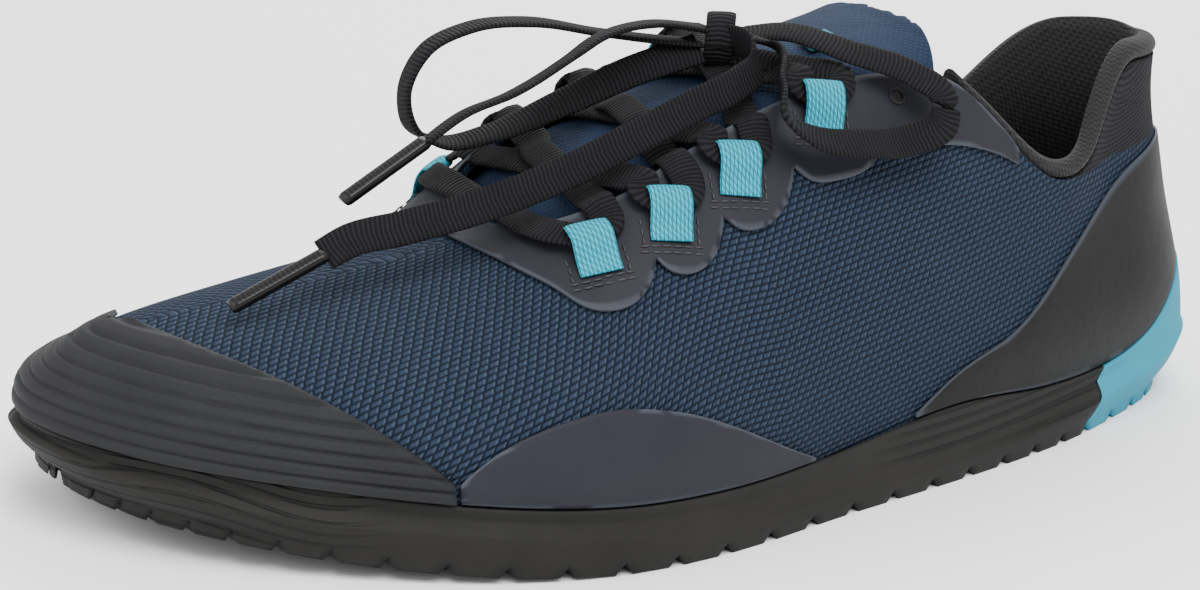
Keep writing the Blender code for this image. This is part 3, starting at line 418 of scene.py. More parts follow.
BLUE_KNIT = knit_paint()
EYESTAY_FILM = film_paint("purple_grey_film", (0.0130, 0.0135, 0.0180),
                          (0.0205, 0.0208, 0.0265), 0.5)
SIDE_FILM = film_paint("slate_film", (0.0130, 0.0132, 0.0185), (0.0205, 0.0205, 0.0275), 0.5)
COUNTER_FILM = film_paint("black_film", (0.0022, 0.0022, 0.0024), (0.0048, 0.0047, 0.0050), 0.48)
SOLE_RUBBER = rubber_paint("charcoal_sole_rubber", (0.0075, 0.0073, 0.0070),
                           (0.020, 0.0192, 0.0182), ribbed=True)
BUMPER_RUBBER = rubber_paint("charcoal_bumper_rubber", (0.0085, 0.0088, 0.0098),
                             (0.0195, 0.0198, 0.0215))
HEEL_RUBBER = rubber_paint("turquoise_rubber", (0.012, 0.165, 0.245), (0.028, 0.25, 0.345))
WEBBING = webbing_paint()
LACE = lace_paint()
COLLAR_MESH = mesh_paint("black_collar_mesh", (0.006, 0.006, 0.0065),
                         (0.025, 0.025, 0.0265), 1.05, 0.22)
INSOLE_CLOTH = mesh_paint("insole_cloth", (0.006, 0.006, 0.007), (0.022, 0.022, 0.025), 1.0, 0.2)
TONGUE_CLOTH = tongue_paint()
LABEL_CLOTH = mesh_paint("turquoise_label_cloth", (0.015, 0.14, 0.17),
                         (0.035, 0.27, 0.32), 0.6, 0.15)
TIP = tip_paint()
# Near-black painted shade for the empty eyelet's rim and hollow
PAINTED_HOLE_SHADE = thread_paint("painted_hole_shade", (0.002, 0.002, 0.0025), (0.006, 0.006, 0.007))
DARK_THREAD = thread_paint("dark_thread", (0.006, 0.006, 0.008), (0.03, 0.028, 0.032))


# Helpers for pieces
def only(thing):
    """Select one object alone."""
    bpy.ops.object.select_all(action="DESELECT")
    thing.select_set(True)
    bpy.context.view_layer.objects.active = thing


def settle(thing, material, smooth=True):
    """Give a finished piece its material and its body."""
    thing.data.materials.clear()
    thing.data.materials.append(material)
    if smooth:
        only(thing)
        bpy.ops.object.shade_smooth()
    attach(thing, "root")


def link(name, data):
    """New object in the scene for a mesh, a camera or a lamp."""
    thing = bpy.data.objects.new(name, data)
    bpy.context.scene.collection.objects.link(thing)
    return thing


def apply_all(thing):
    """Apply an object's modifiers."""
    only(thing)
    for modifier in list(thing.modifiers):
        bpy.ops.object.modifier_apply(modifier=modifier.name)


SAME_POINT = 0.01 * MM
QUAD_ANGLE = math.radians(50)


def fine_copy(node, name, levels, crease_angle):
    """Smooth copy of a frame node: its triangles made quads again and subdivided."""
    thing = link(name, nodes[node].data.copy())
    only(thing)
    bpy.ops.object.mode_set(mode="EDIT")
    bpy.ops.mesh.select_all(action="SELECT")
    bpy.ops.mesh.remove_doubles(threshold=SAME_POINT)
    bpy.ops.mesh.tris_convert_to_quads(face_threshold=QUAD_ANGLE, shape_threshold=QUAD_ANGLE)
    bpy.ops.mesh.select_all(action="DESELECT")
    bpy.ops.object.mode_set(mode="OBJECT")
    mesh = thing.data
    work = bmesh.new()
    work.from_mesh(mesh)
    layer = work.edges.layers.float.get("crease_edge") or work.edges.layers.float.new("crease_edge")
    for edge in work.edges:
        if len(edge.link_faces) == 2 and edge.calc_face_angle(0.0) > math.radians(crease_angle):
            edge[layer] = 1.0
    work.to_mesh(mesh)
    work.free()
    smoother = thing.modifiers.new("smooth", "SUBSURF")
    smoother.levels = levels
    smoother.render_levels = levels
    smoother.use_creases = True
    apply_all(thing)
    return thing


def tree_of(thing):
    """Tree that finds near points on a mesh."""
    work = bmesh.new()
    work.from_mesh(thing.data)
    tree = BVHTree.FromBMesh(work)
    work.free()
    return tree


def points_of(thing):
    """Places of a mesh's vertices."""
    places = np.zeros(len(thing.data.vertices) * 3)
    thing.data.vertices.foreach_get("co", places)
    return places.reshape(-1, 3)


def set_points(thing, places):
    """Move a mesh's vertices to these places."""
    thing.data.vertices.foreach_set("co", np.asarray(places, float).ravel())
    thing.data.update()


def set_weave(thing, values):
    """Store weave coordinates at each vertex."""
    layer = thing.data.attributes.new("weave", "FLOAT_VECTOR", "POINT")
    layer.data.foreach_set("vector", np.asarray(values, float).ravel())


# Camera, as the photograph sees the shoe
CAMERA_PLACE = np.array([-374.275, -443.918, 193.434]) * MM + ASIDE
CAMERA_RIGHT = Vector((0.77891, -0.62100, 0.08752))
CAMERA_UP = Vector((0.09509, 0.25488, 0.96229))
FOCAL_PIXELS = 2996.74
IMAGE = (1200, 590)
OPTICAL_CENTRE = (693.03, 258.45)
SENSOR = 36.0


def make_camera():
    data = bpy.data.cameras.new("camera")
    data.sensor_width = SENSOR
    data.lens = FOCAL_PIXELS * SENSOR / IMAGE[0]
    data.shift_x = (IMAGE[0] / 2 - OPTICAL_CENTRE[0]) / IMAGE[0]
    data.shift_y = (OPTICAL_CENTRE[1] - IMAGE[1] / 2) / IMAGE[0]
    data.clip_start = 0.02
    data.clip_end = 20.0
    camera = link("camera", data)
    right = CAMERA_RIGHT.normalized()
    back = right.cross(CAMERA_UP).normalized()
    up = back.cross(right)
    turn = Matrix((right, up, back)).transposed()
    camera.matrix_world = Matrix.Translation(CAMERA_PLACE) @ turn.to_4x4()
    bpy.context.scene.camera = camera


# Ribbons of lace
def smooth_line(points):
    """Even steps along a curve through the points, and the way gone at each step."""
    points = np.asarray(points, float)
    reach = np.concatenate([[0], np.cumsum(np.linalg.norm(np.diff(points[:, :3], axis=0), axis=1))])
    slopes = np.gradient(points, reach, axis=0)
    count = max(8, int(round(reach[-1] / LACE_STEP)))
    at = np.linspace(0, reach[-1], count * 4)
    cell = np.clip(np.searchsorted(reach, at) - 1, 0, len(reach) - 2)
    span = (reach[cell + 1] - reach[cell])[:, None]
    u = (at - reach[cell])[:, None] / span
    line = ((1 + 2 * u) * (1 - u) ** 2 * points[cell] + u * (1 - u) ** 2 * span * slopes[cell]
            + u * u * (3 - 2 * u) * points[cell + 1] + u * u * (u - 1) * span * slopes[cell + 1])
    length = np.concatenate([[0], np.cumsum(np.linalg.norm(np.diff(line[:, :3], axis=0), axis=1))])
    even = np.linspace(0, length[-1], count + 1)
    return np.stack([np.interp(even, length, line[:, k]) for k in range(line.shape[1])], -1), even


LACE_SIDES = 14
FLAT_SQUARENESS = 0.55
EDGE_SQUARENESS = 0.75
END_ROUNDING = 0.6 * MM
END_FULLNESS = 0.15


def ribbon(name, points, hints, material, width=LACE_WIDTH,
           thickness=LACE_THICKNESS, widths=None, closed=False):
    """Flat lace with round edges along points; hints are the directions across it."""
    rows = np.concatenate([np.asarray(points, float), np.asarray(hints, float)], 1)
    if widths is not None:
        rows = np.concatenate([rows, np.asarray(widths, float)[:, None]], 1)
    line, reach = smooth_line(rows)
    middles = line[:, :3]
    runs = np.gradient(middles, axis=0)
    if closed:
        runs[0] = runs[-1] = middles[1] - middles[-2]
    runs /= np.linalg.norm(runs, axis=1)[:, None]
    across = line[:, 3:6] - runs * np.sum(line[:, 3:6] * runs, 1)[:, None]
    across /= np.linalg.norm(across, axis=1)[:, None]
    out = np.cross(runs, across)
    broad = line[:, 6] if widths is not None else np.full(len(line), width)
    turn = np.arange(LACE_SIDES) * math.tau / LACE_SIDES + math.pi / LACE_SIDES
    flat = np.sign(np.cos(turn)) * np.abs(np.cos(turn)) ** FLAT_SQUARENESS
    high = np.sign(np.sin(turn)) * np.abs(np.sin(turn)) ** EDGE_SQUARENESS
    from_end = np.minimum(reach, reach[-1] - reach)
    ends = np.minimum(1, np.sqrt(from_end / END_ROUNDING + END_FULLNESS))
    if closed:
        ends = np.ones(len(reach))
    rings = (middles[:, None] + across[:, None] * (flat[None, :, None] * broad[:, None, None] / 2)
             + out[:, None] * (high[None, :, None] * thickness / 2 * ends[:, None, None]))
    count = len(rings) - 1 if closed else len(rings)
    verts = rings[:count].reshape(-1, 3)
    faces = []
    for i in range(count if closed else count - 1):
        after = (i + 1) % count
        for k in range(LACE_SIDES):
            n = (k + 1) % LACE_SIDES
            faces.append((i * LACE_SIDES + k, i * LACE_SIDES + n,
                          after * LACE_SIDES + n, after * LACE_SIDES + k))
    if not closed:
        faces.append(tuple(range(LACE_SIDES))[::-1])
        faces.append(tuple((count - 1) * LACE_SIDES + k for k in range(LACE_SIDES)))
    mesh = bpy.data.meshes.new(name)
    mesh.from_pydata(verts.tolist(), [], faces)
    mesh.validate()
    thing = link(name, mesh)
    only(thing)
    bpy.ops.object.mode_set(mode="EDIT")
    bpy.ops.mesh.select_all(action="SELECT")
    bpy.ops.mesh.normals_make_consistent(inside=False)
    bpy.ops.object.mode_set(mode="OBJECT")
    weave = np.zeros((count, LACE_SIDES, 3))
    weave[:, :, 0] = reach[:count, None] / MM
    weave[:, :, 1] = flat[None] * broad[:count, None] / 2 / MM
    set_weave(thing, weave.reshape(-1, 3))
    settle(thing, material)
    return thing, middles


# Middle of the lace in millimetres, and the way across it
BOW_LEFT = (
    (-8.0, -2.5, 83.8, -0.33, -0.94, -0.02), (-16.7, 0.5, 84.4, -0.36, -0.93, -0.01),
    (-27.3, 5.0, 85.4, -0.33, -0.95, 0.01), (-41.3, 9.0, 87.3, -0.27, -0.96, -0.04),
    (-52.7, 12.0, 86.2, -0.24, -0.97, -0.01), (-61.2, 14.0, 81.8, -0.24, -0.97, 0.0),
    (-64.6, 15.0, 73.2, -0.24, -0.97, 0.03), (-63.0, 14.0, 66.9, -0.15, -0.96, 0.1),
    (-57.8, 12.0, 64.3, -0.3, -0.93, -0.12), (-48.4, 9.0, 66.0, -0.21, -0.94, -0.26),
    (-35.4, 5.0, 71.8, -0.04, -0.85, -0.53), (-23.0, 0.0, 78.4, 0.08, -0.68, -0.73),
    (-9.5, -4.0, 83.2, 0.07, -0.67, -0.74),
)
BOW_RIGHT = (
    (-0.5, -5.5, 85.6, -0.62, -0.71, -0.34), (4.9, -11.0, 87.2, -0.7, -0.62, -0.35),
    (14.0, -22.4, 84.8, -0.66, -0.55, -0.5), (22.7, -29.9, 82.0, -0.55, -0.52, -0.6),
    (27.3, -34.9, 78.0, -0.35, -0.52, -0.75), (25.5, -37.5, 73.4, 0.0, -0.5, -0.9),
    (18.6, -36.0, 70.3, 0.0, -0.62, -0.8), (7.3, -36.0, 70.4, -0.1, -0.7, -0.7),
    (-4.2, -34.0, 72.1, -0.35, -0.8, -0.48), (-8.3, -31.0, 74.8, -0.55, -0.8, -0.05),
    (-5.0, -24.5, 79.6, -0.62, -0.76, 0.1), (1.6, -13.0, 85.0, -0.62, -0.76, 0.1),
    (-1.5, -7.0, 86.0, -0.62, -0.74, 0.0),
)
END_LONG = (
    (-4.6, -7.0, 85.4, -0.31, -0.04, 0.95), (-5.2, -14.2, 84.9, -0.2, 0.1, 0.95),
    (-6.0, -17.0, 82.3, -0.4, 0.15, 0.9), (-12.1, -19.3, 79.6, -0.38, 0.23, 0.90),
    (-23.0, -19.5, 75.8, -0.32, 0.38, 0.87), (-35.8, -18.9, 70.6, -0.33, 0.38, 0.86),
    (-48.9, -17.0, 64.8, -0.29, 0.35, 0.89), (-66.2, -14.0, 58.9, -0.13, 0.5, 0.84),
    (-80.8, -11.0, 55.4, -0.07, 0.54, 0.84), (-89.9, -8.0, 53.1, -0.06, 0.67, 0.74),
    (-94.5, -7.0, 50.6, -0.15, 0.79, 0.59),
)
END_SHORT = (
    (-6.5, -2.5, 86.6, -0.08, -0.99, -0.06), (-20.4, -1.5, 88.0, -0.02, -1.0, 0.09),
    (-33.0, -2.0, 85.9, -0.05, -0.97, 0.26), (-39.0, -2.0, 82.6, -0.1, -0.94, 0.32),
    (-53.3, -3.0, 76.4, -0.09, -0.95, 0.29), (-63.0, -2.5, 73.3, -0.17, -0.95, 0.26),
    (-71.0, -2.0, 68.4, -0.23, -0.94, 0.27),
)
KNOT_MIDDLE = np.array([-4.3, -3.5, 84.5]) * MM + ASIDE
KNOT_AWAY = np.array([-0.64, -0.77, 0.0])
KNOT_ACROSS = np.array([0.77, -0.64, 0.05])
KNOT_HALF_DEPTH = 4.3 * MM
KNOT_HALF_HEIGHT = 5.0 * MM
KNOT_WIDTH = 5.8 * MM
TIP_LENGTH = 19 * MM
TIP_WIDTH = 2.9 * MM
TIP_THICKNESS = 2.2 * MM
TIP_OVERLAP = 0.04
TIP_ACROSS = np.array([0.0, 0.9, 0.3])


def cord_points(table):
    """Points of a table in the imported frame, and the ways across there."""
    table = np.array(table)
    return table[:, :3] * MM + ASIDE, table[:, 3:6]


def lace_tip(name, node, points):
    """Clear-coated tip at the end of a lace."""
    run = points[-1] - points[-2]
    run = run / np.linalg.norm(run)
    at = np.linspace(-TIP_OVERLAP, 1.0, 7)[:, None]
    line = points[-1] + run * at * TIP_LENGTH
    tip, _ = ribbon(name, line, np.tile(TIP_ACROSS, (len(line), 1)), TIP,
                    width=TIP_WIDTH, thickness=TIP_THICKNESS)
    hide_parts(node)
    return tip


def make_free_lace():
    """Bow loops, ends with their tips, and the knot that holds them."""
    parts = {}
    for name, table in (("bow_left", BOW_LEFT), ("bow_right", BOW_RIGHT),
                        ("end_long", END_LONG), ("end_short", END_SHORT)):
        points, hints = cord_points(table)
        thing, middles = ribbon("lace_%s_cord" % name, points, hints, LACE)
        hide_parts("lace_%s" % name)
        parts[name] = (thing, middles, points)
    height = np.array([0, 0, KNOT_HALF_HEIGHT])
    wrap = [KNOT_MIDDLE + KNOT_AWAY * KNOT_HALF_DEPTH * math.cos(turn) + height * math.sin(turn)
            for turn in np.linspace(0, math.tau, 25)]
    knot, _ = ribbon("lace_knot_wrap", wrap, np.tile(KNOT_ACROSS, (len(wrap), 1)), LACE,
                     width=KNOT_WIDTH, closed=True)
    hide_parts("lace_knot")
    tips = {"end_long": lace_tip("lace_tip_long_cover", "lace_tip_long", parts["end_long"][2]),
            "end_short": lace_tip("lace_tip_short_cover", "lace_tip_short", parts["end_short"][2])}
    for name, (thing, middles, points) in parts.items():
        looped = name.startswith("bow")
        [knot] if name == "bow_left" else ([] if looped else [tips[name]])


# Webbing loops: reach from the foot and height over the film, in millimetres
LOOP_PATH = ((-0.3, 0.5), (1.4, 0.7), (3.2, 1.5), (5.0, 2.8), (6.8, 3.6), (8.6, 3.7),
             (9.9, 3.0), (10.5, 1.9), (10.0, 1.0), (8.8, 0.7))
LOOP_MIDDLE = 4 * MM
INNER_FLATNESS = 0.72
LOOP_WIDTH = 8.2 * MM
LOOP_THICKNESS = 0.9 * MM
LOOP_NUMBERS = (1, 2, 3, 4)


class Loop:
    """One webbing loop: where it is sewn, and the way it points over the film."""

    def __init__(self, side, number):
        self.side = side
        self.node = "lace_loop_%s_%d" % ("outer" if side < 0 else "inner", number)
        places = points_of(nodes[self.node])
        middle = places.mean(0)
        self.up = np.linalg.svd(places - middle)[2][0]
        if self.up[2] < 0:
            self.up = -self.up
        self.foot = middle + self.up * ((places - middle) @ self.up).min()

    def over(self, film, reach, height):
        """Point at a reach from the foot and a height over the film, with the film's way out."""
        spot, normal, _, _ = film.find_nearest(Vector(self.foot + self.up * reach))
        if normal.z < 0:
            normal = -normal
        if normal.y * self.side < 0:
            # Past the film's lip, the nearest face looks to the other side
            normal.y = -normal.y
        return np.array(spot + normal * height), np.array(normal)


def make_loops(film):
    """Loops of webbing that bulge over the lace, each on its own foot."""
    loops = {}
    for side in (-1, 1):
        for number in LOOP_NUMBERS:
            loop = Loop(side, number)
            rise = 1.0 if side < 0 else INNER_FLATNESS
            points = [loop.over(film, reach * MM, height * rise * MM)[0]
                      for reach, height in LOOP_PATH]
            loop.run = np.cross(loop.over(film, LOOP_MIDDLE, 0)[1], loop.up)
            loop.run /= np.linalg.norm(loop.run)
            if loop.run[0] < 0:
                loop.run = -loop.run
            name = "webbing_%s_%d" % ("outer" if side < 0 else "inner", number)
            piece, _ = ribbon(name, points, np.tile(loop.run, (len(points), 1)), WEBBING,
                              width=LOOP_WIDTH, thickness=LOOP_THICKNESS)
            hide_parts(loop.node)
            loops[side, number] = loop
    return loops


ABOVE_SHOE = 120 * MM


def ground_under(trees, point):
    """Highest point under a place, and the way out of it."""
    above = Vector((point[0], point[1], ABOVE_SHOE))
    hits = [tree.ray_cast(above, Vector((0, 0, -1))) for tree in trees]
    hits = [hit for hit in hits if hit[0] is not None]
    if not hits:
        return np.array(point), np.array([0, 0, 1.0])
    top = max(hits, key=lambda hit: hit[0].z)
    normal = top[1] if top[1].z > 0 else -top[1]
    return np.array(top[0]), np.array(normal)


class Lacing:
    """A flat lace that lies on what it passes over."""

    def __init__(self, trees):
        self.trees = trees
        self.points = []
        self.normals = []
        self.widths = []

    def put(self, point, normal, width=LACE_WIDTH):
        self.points.append(np.array(point))
        self.normals.append(np.array(normal))
        self.widths.append(width)

    def cross(self, begin, end, shares, lifts):
        """Taut stretch from begin to end, lifted over what lies under it."""
        for share, lift in zip(shares, lifts):
            chord = begin + (end - begin) * share
            ground, normal = ground_under(self.trees, chord)
            spot = ground + normal * lift
            if chord[2] > spot[2]:
                spot = chord
            self.put(spot, normal)

    def across(self):
        """Ways across the lace, flat on what it lies on."""
        runs = np.gradient(np.array(self.points), axis=0)
        runs /= np.linalg.norm(runs, axis=1)[:, None]
        normals = np.array(self.normals)
        for _ in range(2):
            normals[1:-1] = normals[:-2] * 0.25 + normals[1:-1] * 0.5 + normals[2:] * 0.25
        return np.cross(runs, normals)


# The lace's way through a loop: its height over the film, its reach from the loop's foot under the
# webbing and beside it, and how far it is pressed together there
LACE_HEIGHT = 1.75 * MM
LACE_IN_LOOP = 7.6 * MM
LACE_BESIDE_LOOP = LACE_IN_LOOP + 2.2 * MM
BESIDE_STEP = 4.4 * MM
TURN_STEP = 3 * MM
BAR_STEP = 5 * MM
WIDTH_IN_LOOP = 5.2 * MM
WIDTH_BESIDE_LOOP = 5.8 * MM
OVER_OTHER_LACE = 1.5 * MM
UNDER_KNOT = np.array([0, 0, -2.2 * MM])
NEAR_LIP = 1.3 * MM
ON_TONGUE = 1.1 * MM


def make_lacing(loops, film):
    """Two laces that cross over the tongue and run through the loops up to the knot."""
    trees = [tree_of(nodes[name]) for name in ("tongue", "eyestay", "upper")]
    for start in (-1, 1):
        lace = Lacing(trees)
        side = start
        begin, end = [loops[one, 1].over(film, LACE_IN_LOOP, LACE_HEIGHT)[0]
                      - loops[one, 1].run * BAR_STEP for one in (-side, side)]
        lift = (1.3 if start > 0 else 1.0) * MM
        lace.cross(begin, end, (0.46, 0.6, 0.8), (lift, lift, ON_TONGUE))
        for number in LOOP_NUMBERS:
            loop = loops[side, number]
            middle, normal = loop.over(film, LACE_IN_LOOP, LACE_HEIGHT)
            beside, near_normal = loop.over(film, LACE_BESIDE_LOOP, LACE_HEIGHT)
            lace.put(beside - loop.run * BESIDE_STEP, near_normal, WIDTH_BESIDE_LOOP)
            lace.put(middle, normal, WIDTH_IN_LOOP)
            lace.put(beside + loop.run * BESIDE_STEP, near_normal, WIDTH_BESIDE_LOOP)
            leave = beside + loop.run * BESIDE_STEP + loop.up * TURN_STEP
            if number == LOOP_NUMBERS[-1]:
                lace.cross(leave, KNOT_MIDDLE + UNDER_KNOT, (0.0, 0.12, 0.25, 0.5, 0.75, 1.0),
                           np.array([1.3, 1.3, 1.3, 1.4, 1.6, 1.6]) * MM)
                break
            other = loops[-side, number + 1]
            arrive = (other.over(film, LACE_BESIDE_LOOP, LACE_HEIGHT)[0]
                      - other.run * BESIDE_STEP + other.up * TURN_STEP)
            high = OVER_OTHER_LACE if (number + (start > 0)) % 2 else 0.0
            shares = np.concatenate([np.linspace(0, 0.3, 6), (0.4, 0.5, 0.6),
                                     np.linspace(0.7, 1, 6)])
            lifts = np.where(np.abs(shares - 0.5) < 0.15, ON_TONGUE + high, NEAR_LIP)
            lace.cross(leave, arrive, shares, lifts)
            side = -side
        name = "lacing_from_outer" if start < 0 else "lacing_from_inner"
        piece, _ = ribbon(name, lace.points, lace.across(), LACE, widths=lace.widths)
    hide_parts("lace_crossings")


# Stitches, in rows below a loop's foot and beside it; pitch and rows in millimetres
STITCH_HALF_LENGTH = 0.85 * MM
STITCH_RADIUS = 0.28 * MM
STITCH_PITCH = 2.2
STITCH_SIDES = 6
STITCH_LIFT = 0.08 * MM
STITCH_FLATNESS = 0.7
STITCH_ROWS_BELOW = (-1.2, -2.6)
STITCH_ROWS_ASIDE = (-5.6, 5.6)


def stitch_shape():
    """One stitch of thread along X."""
    work = bmesh.new()
    rings = []
    for share in (-1.0, -0.8, 0.0, 0.8, 1.0):
        size = STITCH_RADIUS * math.sqrt(max(1 - share * share, 0.08))
        turns = [k * math.tau / STITCH_SIDES for k in range(STITCH_SIDES)]
        rings.append([work.verts.new((share * STITCH_HALF_LENGTH, size * math.cos(turn),
                                      size * math.sin(turn))) for turn in turns])
    for ring, after in zip(rings, rings[1:]):
        for k in range(STITCH_SIDES):
            n = (k + 1) % STITCH_SIDES
            work.faces.new((ring[k], after[k], after[n], ring[n]))
    work.faces.new(rings[0][::-1])
    work.faces.new(rings[-1])
    bmesh.ops.recalc_face_normals(work, faces=work.faces)
    return work


def make_stitches(loops, film):
    """Box of stitches round each loop's foot: two rows below it and one on each side."""
    single = stitch_shape()
    verts = [vert.co.copy() for vert in single.verts]
    faces = [[vert.index for vert in face.verts] for face in single.faces]
    single.free()
    all_verts = []
    all_faces = []
    # Upright or not, aside from the loop's middle, up from its foot
    places = [(False, share * STITCH_PITCH * MM, up * MM) for up in STITCH_ROWS_BELOW
              for share in (-2.5, -1.5, -0.5, 0.5, 1.5, 2.5)]
    places += [(True, aside * MM, share * STITCH_PITCH * MM) for aside in STITCH_ROWS_ASIDE
               for share in (0.0, 1.0, 2.0)]
    for loop in loops.values():
        for upright, aside, reach in places:
            near = loop.foot + loop.up * reach + loop.run * aside
            spot, normal, _, _ = film.find_nearest(Vector(near))
            if normal.z < -0.2:
                normal = -normal
            way = Vector(loop.up if upright else loop.run)
            way = (way - normal * way.dot(normal)).normalized()
            side = normal.cross(way)
            base = len(all_verts)
            for vert in verts:
                out = vert.z * STITCH_FLATNESS + STITCH_LIFT
                all_verts.append(spot + way * vert.x + side * vert.y + normal * out)
            all_faces += [[base + k for k in face] for face in faces]
    mesh = bpy.data.meshes.new("loop_stitches")
    mesh.from_pydata(all_verts, [], all_faces)
    settle(link("loop_stitches", mesh), DARK_THREAD)


# Knit upper: slices across the shoe, each read outwards from a core
CORE_HEIGHT = 18 * MM
SLICES = np.linspace(-137, 137, 92) * MM
SLICE_HALF = 3 * MM
TURNS = np.radians(np.linspace(-40, 220, 131))
LONGEST_REACH = 80 * MM
WALL = 1.6 * MM
SMOOTHINGS = 12
TOE_BOX = (-125 * MM, -75 * MM)
STEADY_TO = -62 * MM
THROAT_FROM = -52 * MM
THROAT_BLEND = 35 * MM
ROW_LEAN = math.radians(8)


def read_skin(places, tree):
    """How far the skin is from the core, by slice and turn, and the middle of each slice."""
    middles = []
    reaches = []
    for x in SLICES:
        near = places[np.abs(places[:, 0] - x) < SLICE_HALF]
        middle = (near[:, 1].min() + near[:, 1].max()) / 2
        reach = []
        for turn in TURNS:
            way = Vector((0, math.cos(turn), math.sin(turn)))
            hit = tree.ray_cast(Vector((x, middle, CORE_HEIGHT)), way)
            reach.append(hit[3] + WALL if hit[0] is not None and hit[3] < LONGEST_REACH else np.nan)
        reach = np.array(reach)
        good = ~np.isnan(reach)
        middles.append(middle)
        reaches.append(np.interp(TURNS, TURNS[good], reach[good]))
    middles = np.array(middles)
    reaches = np.array(reaches)
    for _ in range(SMOOTHINGS):
        reaches[1:-1] = (reaches[:-2] + 2 * reaches[1:-1] + reaches[2:]) / 4
        middles[1:-1] = (middles[:-2] + 2 * middles[1:-1] + middles[2:]) / 4
    return middles, reaches


def rows_of_knit(reaches):
    """Way over the skin from the top line, for each side by slice and turn.

    Behind the toe box it is measured from the side, because the throat cuts the top open.
    """
    arcs = np.hypot(reaches, np.gradient(reaches, TURNS, axis=1))
    steps = (arcs[:, 1:] + arcs[:, :-1]) / 2 * np.diff(TURNS)
    travels = np.concatenate([np.zeros((len(SLICES), 1)), np.cumsum(steps, 1)], 1)
    at_top = np.array([np.interp(math.pi / 2, TURNS, row) for row in travels])
    closed = (SLICES > TOE_BOX[0]) & (SLICES < TOE_BOX[1])
    behind = np.clip((SLICES - THROAT_FROM) / THROAT_BLEND, 0, 1)[:, None]
    rows = []
    for side, turn in ((1, 0.0), (-1, math.pi)):
        at_side = np.array([np.interp(turn, TURNS, row) for row in travels])
        fit = np.polyfit(SLICES[closed], np.abs(at_top - at_side)[closed], 1)
        steady = np.polyval(fit, np.minimum(SLICES, STEADY_TO))
        from_side = steady[:, None] - (travels - at_side[:, None]) * side
        from_top = (at_top[:, None] - travels) * side
        rows.append(from_top * (1 - behind) + from_side * behind)
    return rows


def cell_of(values, grid):
    """Number of each value's cell in an even grid, and the share of the way through it."""
    index = np.clip((values - grid[0]) / (grid[1] - grid[0]), 0, len(grid) - 1.001)
    low = index.astype(int)
    return low, index - low


def make_upper():
    """Knit shell, with the length and width of its knit laid along its skin."""
    upper = fine_copy("upper", "knit_upper", 2, 60.0)
    places = points_of(upper)
    middles, reaches = read_skin(places, tree_of(upper))
    low, part = cell_of(places[:, 0], SLICES)
    middle = middles[low] * (1 - part) + middles[low + 1] * part
    turn = np.arctan2(places[:, 2] - CORE_HEIGHT, places[:, 1] - middle)
    turn = np.where(turn < -math.pi / 2, turn + math.tau, turn)
    left, share = cell_of(turn, TURNS)
    values = [(table[low, left] * (1 - share) + table[low, left + 1] * share) * (1 - part)
              + (table[low + 1, left] * (1 - share) + table[low + 1, left + 1] * share) * part
              for table in rows_of_knit(reaches)]
    across = np.where(turn <= math.pi / 2, *values)
    along = places[:, 0]
    set_weave(upper, np.stack([(along * math.cos(ROW_LEAN) - across * math.sin(ROW_LEAN)) / MM,
                               (across * math.cos(ROW_LEAN) + along * math.sin(ROW_LEAN)) / MM,
                               np.zeros(len(places))], -1))
    settle(upper, BLUE_KNIT)
    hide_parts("upper")
    return upper


# Toe bumper
GROOVE_PITCH = 2.35
GROOVE_START = 22.35
GROOVE_FROM = 0.55
GROOVE_SLOPE = 0.4
GROOVE_DEPTH = 0.62 * MM
INNER_FACE = 0.75 * MM
BUMPER_THICKNESS = 1.15 * MM
BUMPER_DEEPEST = 1.75 * MM
SHAPE_KEPT = 0.3
FOOT_SWELL = 0.9 * MM
FOOT_HEIGHT = 6 * MM


def make_bumper(upper_tree, sole_tree):
    """Grooved toe bumper: its outer face follows the upper at a depth that the grooves set."""
    bumper = fine_copy("toe_bumper", "grooved_bumper", 3, 50.0)
    places = points_of(bumper)
    moved = places.copy()
    for n, point in enumerate(places):
        spot, _, _, distance = upper_tree.find_nearest(Vector(point))
        if distance < INNER_FACE:
            continue
        line = (point[2] + point[0] * TOE_SLOPE) / MM + GROOVE_START
        part = abs((line / GROOVE_PITCH) % 1.0 * 2 - 1)
        groove = min(max((part - GROOVE_FROM) / GROOVE_SLOPE, 0), 1)
        groove = groove * groove * (3 - 2 * groove)
        outward = Vector(point) - spot
        outward.normalize()
        _, _, _, from_sole = sole_tree.find_nearest(Vector(point))
        foot = min(max(1 - from_sole / FOOT_HEIGHT, 0), 1)
        depth = (min(distance, BUMPER_DEEPEST) * SHAPE_KEPT + BUMPER_THICKNESS
                 + FOOT_SWELL * foot * foot - GROOVE_DEPTH * groove)
        moved[n] = np.array(spot + outward * depth)
    set_points(bumper, moved)
    settle(bumper, BUMPER_RUBBER)
    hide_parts("toe_bumper")


# Share of a film's way out that lies along the skin's, below which it is the film's cut edge
EDGE_TURN = 0.72


def film_edge(thing, skin):
    """1 on the cut edge of a film that lies on the skin, 0 on its face."""
    values = np.zeros((len(thing.data.vertices), 3))
    for vert in thing.data.vertices:
        _, normal, _, _ = skin.find_nearest(vert.co)
        values[vert.index, 0] = 1.0 if abs(normal.dot(vert.normal)) < EDGE_TURN else 0.0
    return values


